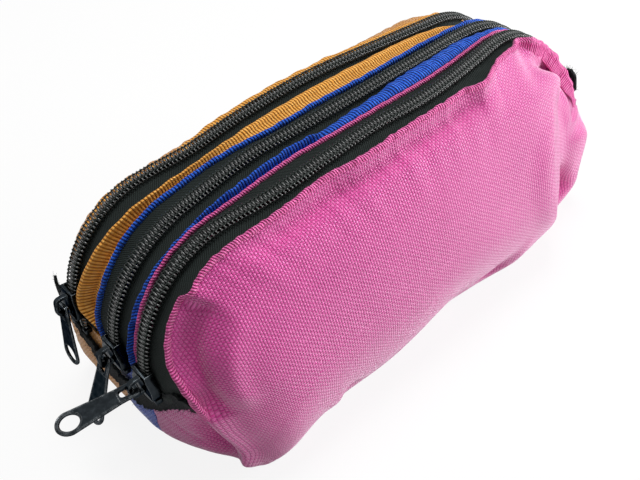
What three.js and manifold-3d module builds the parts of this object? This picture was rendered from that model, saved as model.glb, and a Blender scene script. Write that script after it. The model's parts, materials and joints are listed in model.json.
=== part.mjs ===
// A soft pencil case with three zipped compartments, closed and standing on its base.
// +X runs along the case to its far end, -Y is the front compartment and +Z is up.
// The origin is on the floor, in the middle of the length, under the middle compartment.
// Lengths are in millimetres. Each compartment is a sewn bag of its own colour: a bulging panel or
// flat walls, a gusset round its base and ends, and a coil zip that arches over the top.

import * as THREE from 'three';
import { mergeVertices } from 'three/addons/utils/BufferGeometryUtils.js';
import Module from 'manifold-3d';

const wasm = await Module();
wasm.setup();

// Driving dimensions of the bag
const halfLength = 105;
const frontHeight = 90.5;
const middleHeight = 89;
const backHeight = 86.5;
const archCentreHeight = 48;
const archCrown = 2.3;
const baseCornerRadius = 12;
const fabric = 1;
const seamGap = 0.3;

// Depth of the bag: the front and back panels bulge past their seams
const frontZipOffset = 19;
const backZipOffset = 24;
const baseSeamDepth = 42;
const frontBulge = 10.5;
const backBulge = 6.5;
const panelRoll = 1.6;
const panelCentreHeight = 38;
const seamLeanPowerShare = 1.6;
const bulgeRingPowerShare = 2.5;
const bulgeRisePowerShare = 0.8;
const panelRingShares = [1, 0.92, 0.8, 0.6, 0.3];
const panelCrestShare = 0.55;

// The filled front cloth draws in along its foot. Each pair is a place along the case, as a share of
// its half length, and a share of the deepest draw.
const footDrawDepth = 6;
const footDrawHeight = 40;
const footDrawShares = [
  [-1, 0.15],
  [-0.7, 0],
  [-0.57, 0.4],
  [-0.14, 0.42],
  [0, 0.65],
  [0.14, 1],
  [0.29, 0.75],
  [0.48, 0.3],
  [0.6, 0.3],
  [0.71, 0.6],
  [0.86, 1],
  [1, 0.5],
];

// Behind one crease at its far end the front cloth lies flat, with a hollow at its foot
const facetStart = 67;
const facetRun = 20;
const facetDepth = 6.5;
const facetHeight = 72;
const hollowPlace = 89;
const hollowHeight = 20;
const hollowHalf = 10;
const hollowDepth = 4;

// Zip: two tapes with a slit between them, a coil row sewn to each
const tapeSlitHalf = 1;
const tapeWidth = 6.5;
const tapeThickness = 0.8;
const coilPitch = 5.5;
const coilRootWidth = 1.5;
const coilReach = 1.9;
const coilTipReach = 0.6;
const coilHeight = 2.2;
const coilToothWidth = 2.1;
const coilTipWidth = 1.6;
const coilTipDrop = 0.35;
const coilPartingLag = 0.7;
const coilPhaseShare = 0.25;
const stopLength = 1.8;
const stopWidth = 2.6;
const stopMargin = 0.5;
const stopToSlider = 0.7;

// Slider body
const sliderLength = 11;
const sliderWall = 0.7;
const sliderPlate = 1.1;
const sliderClearance = 0.3;
const sliderBendAllowance = 0.4;
const wedgeHalfWidth = 0.7;
const wedgeLength = 3.4;
const wedgeSetback = 0.7;
const wedgeShoulderShare = 0.45;
const wedgeNoseShare = 0.6;
const shoulderEnd = 0.3;
const taperEnd = 2.6;
const sliderCornerRadius = 1.6;
const crownHalfWidth = 0.9;
const crownHalfLength = 3.8;
const crownBar = 1.2;
const crownOpening = 3.6;
const cutOverrun = 0.5;

// Pull tab
const pullLength = 27.5;
const pullThickness = 1.6;
const pullBar = 1.6;
const pullSlotLength = 4.8;
const pullSlotHalf = 2;
const pullRail = 1.3;
const pullEndRadius = 4.8;
const pullHoleRadius = 2.7;
const pullRim = 1.1;
const pullRecess = 0.35;
const pullPocketStart = 8.2;
const pullPocketEnd = 17.6;
const pullNeckCorner = 0.8;

// Webbing bands sewn across both ends
const bandThickness = 1.4;
const nearBandHeight = 8.6;
const farBandHeight = 10.6;
const nearBandBow = 1.6;
const farBandBow = 3.4;
const bandEndInset = 3;
const bandSteps = 12;

// Rest pose of the sliders and pulls, in degrees
const backSliderLiftDegrees = 8;
const middlePullSwingDegrees = 25;
const frontPullSwingDegrees = 88;
const frontPullYawDegrees = 10;

// Facets
const arcStepDegrees = 9;
const longestArcFacet = 22;
const longestPanelFacet = 30;
const cornerSteps = 4;
const roundSteps = 10;

const nearZipEndHeight = archCentreHeight - sliderLength / 2 - stopToSlider - stopLength - stopMargin;
const farZipEndHeight = archCentreHeight;
const tapeHalf = tapeSlitHalf + tapeWidth;
const zipWidth = 2 * (tapeHalf + seamGap);
const frontZipY = -frontZipOffset;
const middleZipY = frontZipY + zipWidth + 2 * fabric + seamGap;
const backZipY = backZipOffset;
const coilBase = seamGap;
const coilTop = coilBase + coilHeight;
const coilRoot = coilReach - coilTipReach;
const coilOuter = coilRoot + coilRootWidth;
const coilParting = coilTipReach + seamGap + wedgeHalfWidth;

const colours = {
  pink: 0xd9559f,
  blue: 0x2447a8,
  orange: 0xd98a2b,
  tape: 0x17181a,
  coil: 0x1b1d1d,
  paint: 0x0b0b0c,
  webbing: 0x141415,
};

function fabricMaterial(colour) {
  return new THREE.MeshStandardMaterial({ color: colour, roughness: 0.85, metalness: 0 });
}

function paintMaterial() {
  return new THREE.MeshStandardMaterial({ color: colours.paint, roughness: 0.25, metalness: 0.6 });
}

function nylonMaterial() {
  return new THREE.MeshStandardMaterial({ color: colours.coil, roughness: 0.45, metalness: 0 });
}

const part = new THREE.Group();

function addMesh(name, geometry, material, parent = part) {
  const mesh = new THREE.Mesh(geometry, material);
  mesh.name = name;
  parent.add(mesh);
  return mesh;
}

// Joining and cutting of closed bodies

function toSolid(geometry) {
  const bare = geometry.index ? geometry.toNonIndexed() : geometry.clone();
  bare.deleteAttribute('normal');
  bare.deleteAttribute('uv');
  const merged = mergeVertices(bare);
  const mesh = new wasm.Mesh({
    numProp: 3,
    vertProperties: new Float32Array(merged.attributes.position.array),
    triVerts: new Uint32Array(merged.index.array),
  });
  return new wasm.Manifold(mesh);
}

function toGeometry(solid) {
  const mesh = solid.getMesh();
  const geometry = new THREE.BufferGeometry();
  geometry.setAttribute('position', new THREE.BufferAttribute(new Float32Array(mesh.vertProperties), 3));
  geometry.setIndex(new THREE.BufferAttribute(new Uint32Array(mesh.triVerts), 1));
  geometry.computeVertexNormals();
  return geometry;
}

function facesToGeometry(points, triangles) {
  const geometry = new THREE.BufferGeometry();
  const flat = points.flatMap((p) => [p.x, p.y, p.z]);
  geometry.setAttribute('position', new THREE.Float32BufferAttribute(flat, 3));
  geometry.setIndex(triangles);
  geometry.computeVertexNormals();
  return geometry;
}

// A path in the XZ plane, made of straight runs and arcs that turn towards the inside of the bag.
// place(s, n) gives the point at length s along it, n outside the path.

function makePath(start, heading, runs) {
  const pieces = [];
  let x = start.x;
  let z = start.z;
  let angle = heading;
  let length = 0;
  for (const run of runs) {
    pieces.push({ ...run, x, z, angle, from: length, to: length + run.length });
    length += run.length;
    if (run.radius) {
      const cx = x + run.radius * Math.sin(angle);
      const cz = z - run.radius * Math.cos(angle);
      angle -= run.length / run.radius;
      x = cx - run.radius * Math.sin(angle);
      z = cz + run.radius * Math.cos(angle);
    } else {
      x += run.length * Math.cos(angle);
      z += run.length * Math.sin(angle);
    }
  }
  function place(s, n) {
    const piece = pieces.find((p) => s <= p.to) ?? pieces[pieces.length - 1];
    const along = s - piece.from;
    if (piece.radius) {
      const turned = piece.angle - along / piece.radius;
      const cx = piece.x + piece.radius * Math.sin(piece.angle);
      const cz = piece.z - piece.radius * Math.cos(piece.angle);
      const reach = piece.radius + n;
      return { x: cx - reach * Math.sin(turned), z: cz + reach * Math.cos(turned) };
    }
    return {
      x: piece.x + along * Math.cos(piece.angle) - n * Math.sin(piece.angle),
      z: piece.z + along * Math.sin(piece.angle) + n * Math.cos(piece.angle),
    };
  }
  function stations(from, to, straightFacet = Infinity) {
    const list = [from];
    for (const piece of pieces) {
      const turn = piece.radius ? THREE.MathUtils.radToDeg(piece.length / piece.radius) : 0;
      const longest = piece.radius ? longestArcFacet : straightFacet;
      const steps = Math.max(1, Math.ceil(turn / arcStepDegrees), Math.ceil(piece.length / longest));
      for (let i = 0; i <= steps; i += 1) {
        const s = piece.from + (piece.length * i) / steps;
        const last = list[list.length - 1];
        if (s > last + seamGap && s < to - seamGap) {
          list.push(s);
        }
      }
    }
    list.push(to);
    return list;
  }
  return { place, stations, length };
}

// The outline of a compartment starts above the near base corner, climbs the near end, arches over
// the top with a slight crown, comes down the far end and returns along the base.

function outlinePath(height) {
  const archRadius = height - archCrown - archCentreHeight;
  const halfTop = halfLength - archRadius;
  const tilt = 2 * Math.atan(archCrown / halfTop);
  const crownRadius = archRadius + halfTop / Math.sin(tilt);
  const climb = archCentreHeight - baseCornerRadius;
  const endArc = archRadius * (Math.PI / 2 - tilt);
  const topArc = crownRadius * 2 * tilt;
  const corner = (baseCornerRadius * Math.PI) / 2;
  const path = makePath({ x: -halfLength, z: baseCornerRadius }, Math.PI / 2, [
    { length: climb },
    { length: endArc, radius: archRadius },
    { length: topArc, radius: crownRadius },
    { length: endArc, radius: archRadius },
    { length: climb },
    { length: corner, radius: baseCornerRadius },
    { length: 2 * (halfLength - baseCornerRadius) },
    { length: corner, radius: baseCornerRadius },
  ]);
  const archEnd = climb + endArc + topArc + endArc;
  path.archRadius = archRadius;
  path.archStart = climb;
  path.zipStart = nearZipEndHeight - baseCornerRadius;
  path.zipEnd = archEnd + archCentreHeight - farZipEndHeight;
  return path;
}

// A strip with a four-cornered section that follows a path; edges(z, x) gives its two Y edges.

function stripAlong(path, stations, inner, outer, edges) {
  const points = [];
  const triangles = [];
  for (const s of stations) {
    const out = path.place(s, outer);
    const inn = path.place(s, inner);
    const [y0, y1] = edges(out.z, out.x);
    points.push({ x: out.x, y: y0, z: out.z });
    points.push({ x: out.x, y: y1, z: out.z });
    points.push({ x: inn.x, y: y1, z: inn.z });
    points.push({ x: inn.x, y: y0, z: inn.z });
  }
  for (let i = 0; i + 1 < stations.length; i += 1) {
    for (let k = 0; k < 4; k += 1) {
      const a = 4 * i + k;
      const b = 4 * i + ((k + 1) % 4);
      triangles.push(a, b, b + 4, a, b + 4, a + 4);
    }
  }
  const last = 4 * (stations.length - 1);
  triangles.push(0, 2, 1, 0, 3, 2);
  triangles.push(last, last + 1, last + 2, last, last + 2, last + 3);
  return outwardFacing(points, triangles);
}

// Turns a closed body's faces outwards if they were listed the other way round.

function outwardFacing(points, triangles) {
  let volume = 0;
  for (let i = 0; i < triangles.length; i += 3) {
    const a = points[triangles[i]];
    const b = points[triangles[i + 1]];
    const c = points[triangles[i + 2]];
    volume += a.x * (b.y * c.z - b.z * c.y) - a.y * (b.x * c.z - b.z * c.x) + a.z * (b.x * c.y - b.y * c.x);
  }
  const faces = [...triangles];
  if (volume < 0) {
    for (let i = 0; i < faces.length; i += 3) {
      [faces[i + 1], faces[i + 2]] = [faces[i + 2], faces[i + 1]];
    }
  }
  return facesToGeometry(points, faces);
}

// The seam between a panel and its gusset leans inwards as it rises to the zip's edge.

function seamDepth(z, height, topDepth) {
  const share = Math.min(Math.max(z / height, 0), 1) ** seamLeanPowerShare;
  return baseSeamDepth + (topDepth - baseSeamDepth) * share;
}

// 0 below low and 1 above high, with a smooth change between.

function smooth(value, low, high) {
  const share = Math.min(Math.max((value - low) / (high - low), 0), 1);
  return share * share * (3 - 2 * share);
}

// Seam depths of the two outer compartments, at height z and at x along the case.

function frontSeam(z, x) {
  const place = Math.min(Math.max(x / halfLength, -1), 1);
  const last = footDrawShares.length - 1;
  const above = Math.max(1, footDrawShares.findIndex(([at], i) => i === last || at >= place));
  const [placeA, drawA] = footDrawShares[above - 1];
  const [placeB, drawB] = footDrawShares[above];
  const share = drawA + ((drawB - drawA) * (place - placeA)) / (placeB - placeA);
  const draw = footDrawDepth * share * (1 - smooth(z, 0, footDrawHeight));
  return seamDepth(z, frontHeight, frontZipOffset + tapeHalf + seamGap) - draw;
}

function backSeam(z) {
  return seamDepth(z, backHeight, backZipOffset + tapeHalf + seamGap);
}

// How far the front cloth lies behind its full bulge at its far end.

function frontSink(x, z) {
  const past = Math.min(Math.max((x - facetStart) / facetRun, 0), 1);
  const facet = facetDepth * past * (1 - smooth(z, facetHeight - facetRun, facetHeight));
  const away = Math.hypot(x - hollowPlace, z - hollowHeight) / hollowHalf;
  return facet + hollowDepth * Math.exp(-away * away);
}

// A bulging outer panel: a thin shell whose rim follows the zip tape over the top and the gusset
// seam below. side is -1 for the front and +1 for the back. seamAt(z, x) is the seam's depth, and
// sinkAt(x, z) is how far the cloth lies behind its bulge.

function bulgingPanel(path, zipY, side, bulge, seamAt, sinkAt) {
  const rimDepth = Math.abs(zipY) + tapeHalf + seamGap;
  const nearRim = path.stations(0, path.zipStart - seamGap, longestPanelFacet);
  const archRim = path.stations(path.zipStart, path.zipEnd, longestPanelFacet);
  const farRim = path.stations(path.zipEnd + seamGap, path.length, longestPanelFacet);
  const loop = [...nearRim, ...archRim, ...farRim.slice(0, -1)];
  const points = [];
  const triangles = [];

  function rings(inset, inwards) {
    const first = points.length;
    for (let r = -1; r < panelRingShares.length; r += 1) {
      const share = r < 0 ? 1 : panelRingShares[r];
      const rise = (1 - share ** bulgeRingPowerShare) ** bulgeRisePowerShare;
      for (const s of loop) {
        const edge = path.place(s, -inset);
        const onArch = s >= path.zipStart && s <= path.zipEnd;
        const crestX = edge.x * panelCrestShare;
        const x = crestX + (edge.x - crestX) * share;
        const z = panelCentreHeight + (edge.z - panelCentreHeight) * share;
        const seam = seamAt(z, x);
        const rim = onArch ? rimDepth : seam + seamGap;
        const skin = inwards * Math.min(1, rise + 1 - share);
        const sink = sinkAt(x, z) * Math.min(1, rise);
        const depth = r < 0 ? rim : seam + panelRoll + bulge * rise - sink - skin;
        points.push({ x, y: side * depth, z });
      }
    }
    const tip = points.length;
    const tipSeam = seamAt(panelCentreHeight, 0);
    points.push({ x: 0, y: side * (tipSeam + panelRoll + bulge - inwards), z: panelCentreHeight });
    return { first, tip };
  }

  const outer = rings(0, 0);
  const inner = rings(fabric, fabric);
  const count = loop.length;
  const rows = panelRingShares.length + 1;
  for (const [skin, flip] of [[outer, false], [inner, true]]) {
    for (let i = 0; i < count; i += 1) {
      const j = (i + 1) % count;
      for (let r = 0; r + 1 < rows; r += 1) {
        const a = skin.first + r * count + i;
        const b = skin.first + r * count + j;
        const faces = [a, b, b + count, a, b + count, a + count];
        triangles.push(...(flip ? faces.reverse() : faces));
      }
      const a = skin.first + (rows - 1) * count + i;
      const b = skin.first + (rows - 1) * count + j;
      triangles.push(...(flip ? [skin.tip, b, a] : [a, b, skin.tip]));
    }
  }
  for (let i = 0; i < count; i += 1) {
    const j = (i + 1) % count;
    const a = outer.first + i;
    const b = outer.first + j;
    const c = inner.first + j;
    const d = inner.first + i;
    triangles.push(a, d, c, a, c, b);
  }
  return outwardFacing(points, triangles);
}

// A flat wall with the compartment's full outline, between y0 and y0 + fabric.

function flatWall(path, y0) {
  const stations = path.stations(0, path.length).slice(0, -1);
  const outline = stations.map((s) => {
    const p = path.place(s, 0);
    return new THREE.Vector2(p.x, p.z);
  });
  const shape = new THREE.Shape(outline);
  const geometry = new THREE.ExtrudeGeometry(shape, { depth: fabric, bevelEnabled: false });
  geometry.rotateX(Math.PI / 2);
  geometry.translate(0, y0 + fabric, 0);
  return geometry;
}

// The gusset runs down the near end, along the base and up the far end. edges(z, x) gives its Y
// edges.

function gusset(path, edges, facet = Infinity) {
  const start = path.zipEnd + seamGap;
  const end = path.length + path.zipStart - seamGap;
  const toCorner = path.stations(start, path.length, facet);
  const fromCorner = path.stations(0, path.zipStart - seamGap, facet).slice(1);
  const upNearEnd = fromCorner.map((s) => s + path.length);
  const looped = {
    place: (s, n) => path.place(s > path.length ? s - path.length : s, n),
  };
  return stripAlong(looped, [...toCorner, ...upNearEnd].filter((s) => s <= end), -fabric, 0, edges);
}

// One coil row: a spine with teeth that reach past the middle between those of the other row.
// parting(s) moves the row outwards where the slider's wedge holds the zip open.

function coilRow(path, zipY, side, from, to, parting) {
  const points = [];
  const triangles = [];
  const count = Math.floor((to - from) / coilPitch);
  const lead = (to - from - count * coilPitch) / 2;
  const phaseShare = side > 0 ? 1 - coilPhaseShare : coilPhaseShare;

  function add(s, w, n) {
    const at = path.place(s, n);
    points.push({ x: at.x, y: zipY + side * (w + parting(s)), z: at.z });
    return points.length - 1;
  }

  function section(s, tipS) {
    return {
      outerLow: add(s, coilOuter, coilBase),
      outerHigh: add(s, coilOuter, coilTop),
      rootLow: add(s, coilRoot, coilBase),
      rootHigh: add(s, coilRoot, coilTop),
      tipLow: tipS === null ? -1 : add(tipS, -coilTipReach, coilBase),
      tipHigh: tipS === null ? -1 : add(tipS, -coilTipReach, coilTop - coilTipDrop),
    };
  }

  function quad(a, b, c, d) {
    triangles.push(a, b, c, a, c, d);
  }

  function spine(a, b) {
    quad(a.outerHigh, b.outerHigh, b.rootHigh, a.rootHigh);
    quad(a.outerLow, a.rootLow, b.rootLow, b.outerLow);
    quad(a.outerLow, b.outerLow, b.outerHigh, a.outerHigh);
  }

  let before = section(from, null);
  quad(before.outerLow, before.outerHigh, before.rootHigh, before.rootLow);
  for (let k = 0; k < count; k += 1) {
    const middle = from + lead + (k + phaseShare) * coilPitch;
    const a = section(middle - coilToothWidth / 2, middle - coilTipWidth / 2);
    const b = section(middle + coilToothWidth / 2, middle + coilTipWidth / 2);
    spine(before, a);
    quad(before.rootLow, before.rootHigh, a.rootHigh, a.rootLow);
    spine(a, b);
    quad(a.rootHigh, b.rootHigh, b.tipHigh, a.tipHigh);
    quad(a.rootLow, a.tipLow, b.tipLow, b.rootLow);
    quad(a.tipLow, a.tipHigh, b.tipHigh, b.tipLow);
    quad(a.rootLow, a.rootHigh, a.tipHigh, a.tipLow);
    quad(b.rootLow, b.tipLow, b.tipHigh, b.rootHigh);
    before = b;
  }
  const end = section(to, null);
  spine(before, end);
  quad(before.rootLow, before.rootHigh, end.rootHigh, end.rootLow);
  quad(end.outerLow, end.rootLow, end.rootHigh, end.outerHigh);
  return outwardFacing(points, triangles);
}

// A stop is a small metal block clamped over the end of a row, or over both rows.

function stopBlock(path, zipY, from, w0, w1) {
  const stations = [from, from + stopLength];
  return stripAlong(path, stations, coilBase, coilTop + seamGap, () => [zipY + w0, zipY + w1]);
}

// Slider shapes are drawn with X along the zip, Y across it and Z outwards from the tapes.

function extrudeUp(shape, z0, z1, steps = cornerSteps) {
  const geometry = new THREE.ExtrudeGeometry(shape, {
    depth: z1 - z0,
    bevelEnabled: false,
    curveSegments: steps,
  });
  geometry.translate(0, 0, z0);
  return toSolid(geometry);
}

function shieldShape(frontHalf, tailHalf, front, tail, corner) {
  const shape = new THREE.Shape();
  shape.moveTo(front, -frontHalf + corner);
  shape.quadraticCurveTo(front, -frontHalf, front + corner, -frontHalf);
  shape.lineTo(-shoulderEnd, -frontHalf);
  shape.lineTo(taperEnd, -tailHalf);
  shape.lineTo(tail, -tailHalf);
  shape.lineTo(tail, tailHalf);
  shape.lineTo(taperEnd, tailHalf);
  shape.lineTo(-shoulderEnd, frontHalf);
  shape.lineTo(front + corner, frontHalf);
  shape.quadraticCurveTo(front, frontHalf, front, frontHalf - corner);
  shape.closePath();
  return shape;
}

const sliderHalf = sliderLength / 2;
const channelTop = coilTop + sliderClearance;
const channelBottom = -(tapeThickness + sliderClearance + sliderBendAllowance);
const plateTop = channelTop + sliderPlate;
const frontChannelHalf = coilOuter + coilParting + sliderClearance;
const tailChannelHalf = coilOuter + sliderClearance;
const crownTop = plateTop + crownOpening + crownBar;
const pullPivotHeight = plateTop + crownOpening / 2 + sliderClearance / 2;

function crownShape() {
  const shape = new THREE.Shape();
  const foot = plateTop - sliderPlate / 2;
  const innerRound = crownBar;
  const round = innerRound + crownBar;
  shape.moveTo(-crownHalfLength, foot);
  shape.lineTo(crownHalfLength, foot);
  shape.lineTo(crownHalfLength, crownTop - round);
  shape.quadraticCurveTo(crownHalfLength, crownTop, crownHalfLength - round, crownTop);
  shape.lineTo(-crownHalfLength + round, crownTop);
  shape.quadraticCurveTo(-crownHalfLength, crownTop, -crownHalfLength, crownTop - round);
  shape.closePath();
  const hole = new THREE.Path();
  const inner = crownHalfLength - crownBar;
  const innerTop = crownTop - crownBar;
  hole.moveTo(-inner, plateTop);
  hole.lineTo(-inner, innerTop - innerRound);
  hole.quadraticCurveTo(-inner, innerTop, -inner + innerRound, innerTop);
  hole.lineTo(inner - innerRound, innerTop);
  hole.quadraticCurveTo(inner, innerTop, inner, innerTop - innerRound);
  hole.lineTo(inner, plateTop);
  hole.closePath();
  shape.holes.push(hole);
  return shape;
}

function sliderGeometry() {
  const frontHalf = frontChannelHalf + sliderWall;
  const tailHalf = tailChannelHalf + sliderWall;
  const block = extrudeUp(
    shieldShape(frontHalf, tailHalf, -sliderHalf, sliderHalf, sliderCornerRadius),
    channelBottom - sliderPlate,
    plateTop,
  );
  const channel = extrudeUp(
    shieldShape(frontChannelHalf, tailChannelHalf, -sliderHalf - cutOverrun, sliderHalf + cutOverrun, 0),
    channelBottom,
    channelTop,
  );
  const tapeSlot = new THREE.BoxGeometry(
    sliderLength + 2 * cutOverrun,
    2 * (frontHalf + cutOverrun),
    sliderClearance - channelBottom,
  );
  tapeSlot.translate(0, 0, (sliderClearance + channelBottom) / 2);
  const wedge = new THREE.Shape();
  const wedgeFront = -sliderHalf + wedgeSetback;
  const wedgeMiddle = wedgeFront + wedgeLength * wedgeShoulderShare;
  const wedgeNose = wedgeHalfWidth * wedgeNoseShare;
  wedge.moveTo(wedgeFront, -wedgeNose);
  wedge.lineTo(wedgeMiddle, -wedgeHalfWidth);
  wedge.lineTo(wedgeFront + wedgeLength, 0);
  wedge.lineTo(wedgeMiddle, wedgeHalfWidth);
  wedge.lineTo(wedgeFront, wedgeNose);
  wedge.closePath();
  const post = extrudeUp(wedge, channelBottom - sliderPlate / 2, channelTop + sliderPlate / 2);
  const crown = new THREE.ExtrudeGeometry(crownShape(), {
    depth: 2 * crownHalfWidth,
    bevelEnabled: false,
    curveSegments: cornerSteps,
  });
  crown.rotateX(Math.PI / 2);
  crown.translate(0, crownHalfWidth, 0);
  return toGeometry(block.subtract(channel).subtract(toSolid(tapeSlot)).add(post).add(toSolid(crown)));
}

// The pull is drawn hanging: it points along -X from its bar at the origin, with Z outwards.

function pullGeometry() {
  const neckHalf = pullSlotHalf + pullRail;
  const neckEnd = pullBar / 2 + pullSlotLength + pullRim;
  const endCentre = pullLength - pullEndRadius;
  const shape = new THREE.Shape();
  shape.moveTo(pullBar / 2 - pullNeckCorner, -neckHalf);
  shape.quadraticCurveTo(pullBar / 2, -neckHalf, pullBar / 2, -neckHalf + pullNeckCorner);
  shape.lineTo(pullBar / 2, neckHalf - pullNeckCorner);
  shape.quadraticCurveTo(pullBar / 2, neckHalf, pullBar / 2 - pullNeckCorner, neckHalf);
  shape.lineTo(-neckEnd, neckHalf);
  shape.lineTo(-endCentre, pullEndRadius);
  shape.absarc(-endCentre, 0, pullEndRadius, Math.PI / 2, (3 * Math.PI) / 2, false);
  shape.lineTo(-neckEnd, -neckHalf);
  shape.closePath();
  const slot = new THREE.Path();
  slot.moveTo(-pullBar / 2, -pullSlotHalf);
  slot.lineTo(-pullBar / 2 - pullSlotLength, -pullSlotHalf);
  slot.lineTo(-pullBar / 2 - pullSlotLength, pullSlotHalf);
  slot.lineTo(-pullBar / 2, pullSlotHalf);
  slot.closePath();
  const eye = new THREE.Path();
  eye.absarc(-endCentre, 0, pullHoleRadius, 0, 2 * Math.PI, true);
  shape.holes.push(slot, eye);
  const plate = extrudeUp(shape, -pullThickness / 2, pullThickness / 2, roundSteps);
  const pocket = new THREE.Shape();
  const startHalf = neckHalf - pullRim;
  const endHalf = pullEndRadius - pullRim;
  pocket.moveTo(-pullPocketStart, -startHalf);
  pocket.lineTo(-pullPocketStart, startHalf);
  pocket.lineTo(-pullPocketEnd, endHalf);
  pocket.lineTo(-pullPocketEnd, -endHalf);
  pocket.closePath();
  const face = pullThickness / 2;
  const high = extrudeUp(pocket, face - pullRecess, face + cutOverrun);
  const low = extrudeUp(pocket, -face - cutOverrun, -face + pullRecess);
  return toGeometry(plate.subtract(high).subtract(low));
}

// A zip: tapes, coil rows and stops on the bag, a slider on the near end arc and its pull.

function addZip(name, path, zipY, lift, swing, yaw) {
  const stations = path.stations(path.zipStart, path.zipEnd);
  const sliderAt = path.archStart + path.archRadius * THREE.MathUtils.degToRad(lift);
  const stopFrom = path.zipStart + stopMargin;
  const coilFrom = stopFrom + stopLength + seamGap;
  const coilTo = path.zipEnd - stopMargin - stopLength - seamGap;
  const parting = (s) => {
    const share = (taperEnd - coilPartingLag - (s - sliderAt)) / (taperEnd + shoulderEnd);
    return coilParting * Math.min(Math.max(share, 0), 1);
  };
  for (const [label, side] of [['outer', Math.sign(zipY) || -1], ['inner', -(Math.sign(zipY) || -1)]]) {
    const y0 = side > 0 ? zipY + tapeSlitHalf : zipY - tapeHalf;
    const tape = stripAlong(path, stations, -tapeThickness, 0, () => [y0, y0 + tapeWidth]);
    addMesh(`${name}_zip_tape_${label}`, tape, fabricMaterial(colours.tape));
    const row = coilRow(path, zipY, side, coilFrom, coilTo, parting);
    addMesh(`${name}_coil_row_${label}`, row, nylonMaterial());
    const stopY = coilRoot + coilParting - (stopWidth - coilRootWidth) / 2;
    const edges = side > 0 ? [stopY, stopY + stopWidth] : [-stopY - stopWidth, -stopY];
    const stop = stopBlock(path, zipY, stopFrom, edges[0], edges[1]);
    addMesh(`${name}_top_stop_${label}`, stop, paintMaterial());
  }
  const stopEnd = path.zipEnd - stopMargin - stopLength;
  const bottomStop = stopBlock(path, zipY, stopEnd, -coilOuter, coilOuter);
  addMesh(`${name}_bottom_stop`, bottomStop, paintMaterial());

  const pivot = new THREE.Group();
  pivot.position.set(-halfLength + path.archRadius, zipY, archCentreHeight);
  pivot.rotation.y = THREE.MathUtils.degToRad(lift);
  part.add(pivot);
  const seat = new THREE.Group();
  seat.position.set(-path.archRadius, 0, 0);
  seat.rotation.y = -Math.PI / 2;
  pivot.add(seat);
  addMesh(`${name}_slider`, sliderGeometry(), paintMaterial(), seat);
  const hinge = new THREE.Group();
  hinge.position.set(0, 0, pullPivotHeight);
  hinge.rotation.set(-THREE.MathUtils.degToRad(yaw), THREE.MathUtils.degToRad(swing), 0);
  seat.add(hinge);
  addMesh(`${name}_pull`, pullGeometry(), paintMaterial(), hinge);
}

// A webbing band lies across an end wall, bowed outwards a little between its sewn ends.

function addBand(name, side, top, height, bow, backDepth, frontDepth) {
  const shape = new THREE.Shape();
  const outline = [];
  const half = (backDepth + frontDepth) / 2;
  const middle = (backDepth - frontDepth) / 2;
  for (let i = 0; i <= bandSteps; i += 1) {
    const share = -1 + (2 * i) / bandSteps;
    const rise = bow * Math.cos((share * Math.PI) / 2) ** 2;
    outline.push({ y: middle + half * share, x: halfLength + seamGap + rise });
  }
  outline.forEach((p, i) => (i ? shape.lineTo(side * p.x, p.y) : shape.moveTo(side * p.x, p.y)));
  outline.reverse().forEach((p) => shape.lineTo(side * (p.x + bandThickness), p.y));
  shape.closePath();
  const geometry = new THREE.ExtrudeGeometry(shape, { depth: height, bevelEnabled: false });
  geometry.translate(0, 0, top - height);
  addMesh(name, geometry, fabricMaterial(colours.webbing));
}

const frontPath = outlinePath(frontHeight);
const middlePath = outlinePath(middleHeight);
const backPath = outlinePath(backHeight);

// Front compartment, pink
const frontWallY = frontZipY + tapeHalf + seamGap;
addMesh(
  'front_panel',
  bulgingPanel(frontPath, frontZipY, -1, frontBulge, frontSeam, frontSink),
  fabricMaterial(colours.pink),
);
addMesh(
  'front_gusset',
  gusset(frontPath, (z, x) => [-frontSeam(z, x), frontWallY - seamGap], longestPanelFacet),
  fabricMaterial(colours.pink),
);
addMesh('front_rear_wall', flatWall(frontPath, frontWallY), fabricMaterial(colours.pink));

// Middle compartment, blue
const middleNearWallY = frontWallY + fabric + seamGap;
const middleFarWallY = middleZipY + tapeHalf + seamGap;
addMesh('middle_front_wall', flatWall(middlePath, middleNearWallY), fabricMaterial(colours.blue));
addMesh(
  'middle_gusset',
  gusset(middlePath, () => [middleNearWallY + fabric + seamGap, middleFarWallY - seamGap]),
  fabricMaterial(colours.blue),
);
addMesh('middle_rear_wall', flatWall(middlePath, middleFarWallY), fabricMaterial(colours.blue));

// Back compartment, orange: its front wall turns over into a wide strip beside the zip
const backWallY = middleFarWallY + fabric + seamGap;
const backStripEdge = backZipY - tapeHalf - seamGap;
const backStrip = stripAlong(
  backPath,
  backPath.stations(backPath.zipStart, backPath.zipEnd),
  -fabric,
  0,
  () => [backWallY + fabric / 2, backStripEdge],
);
addMesh(
  'back_front_wall',
  toGeometry(toSolid(flatWall(backPath, backWallY)).add(toSolid(backStrip))),
  fabricMaterial(colours.orange),
);
addMesh(
  'back_gusset',
  gusset(backPath, (z) => [backWallY + fabric + seamGap, backSeam(z)]),
  fabricMaterial(colours.orange),
);
addMesh(
  'back_panel',
  bulgingPanel(backPath, backZipY, 1, backBulge, backSeam, () => 0),
  fabricMaterial(colours.orange),
);

addZip('front', frontPath, frontZipY, 0, frontPullSwingDegrees, frontPullYawDegrees);
addZip('middle', middlePath, middleZipY, 0, middlePullSwingDegrees, 0);
addZip('back', backPath, backZipY, backSliderLiftDegrees, 0, 0);

const bandDepth = baseSeamDepth - bandEndInset;
addBand('near_end_band', -1, nearZipEndHeight - seamGap, nearBandHeight, nearBandBow, bandDepth, bandDepth);
addBand('far_end_band', 1, farZipEndHeight - seamGap, farBandHeight, farBandBow, bandDepth, bandDepth);

export default part;
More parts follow.
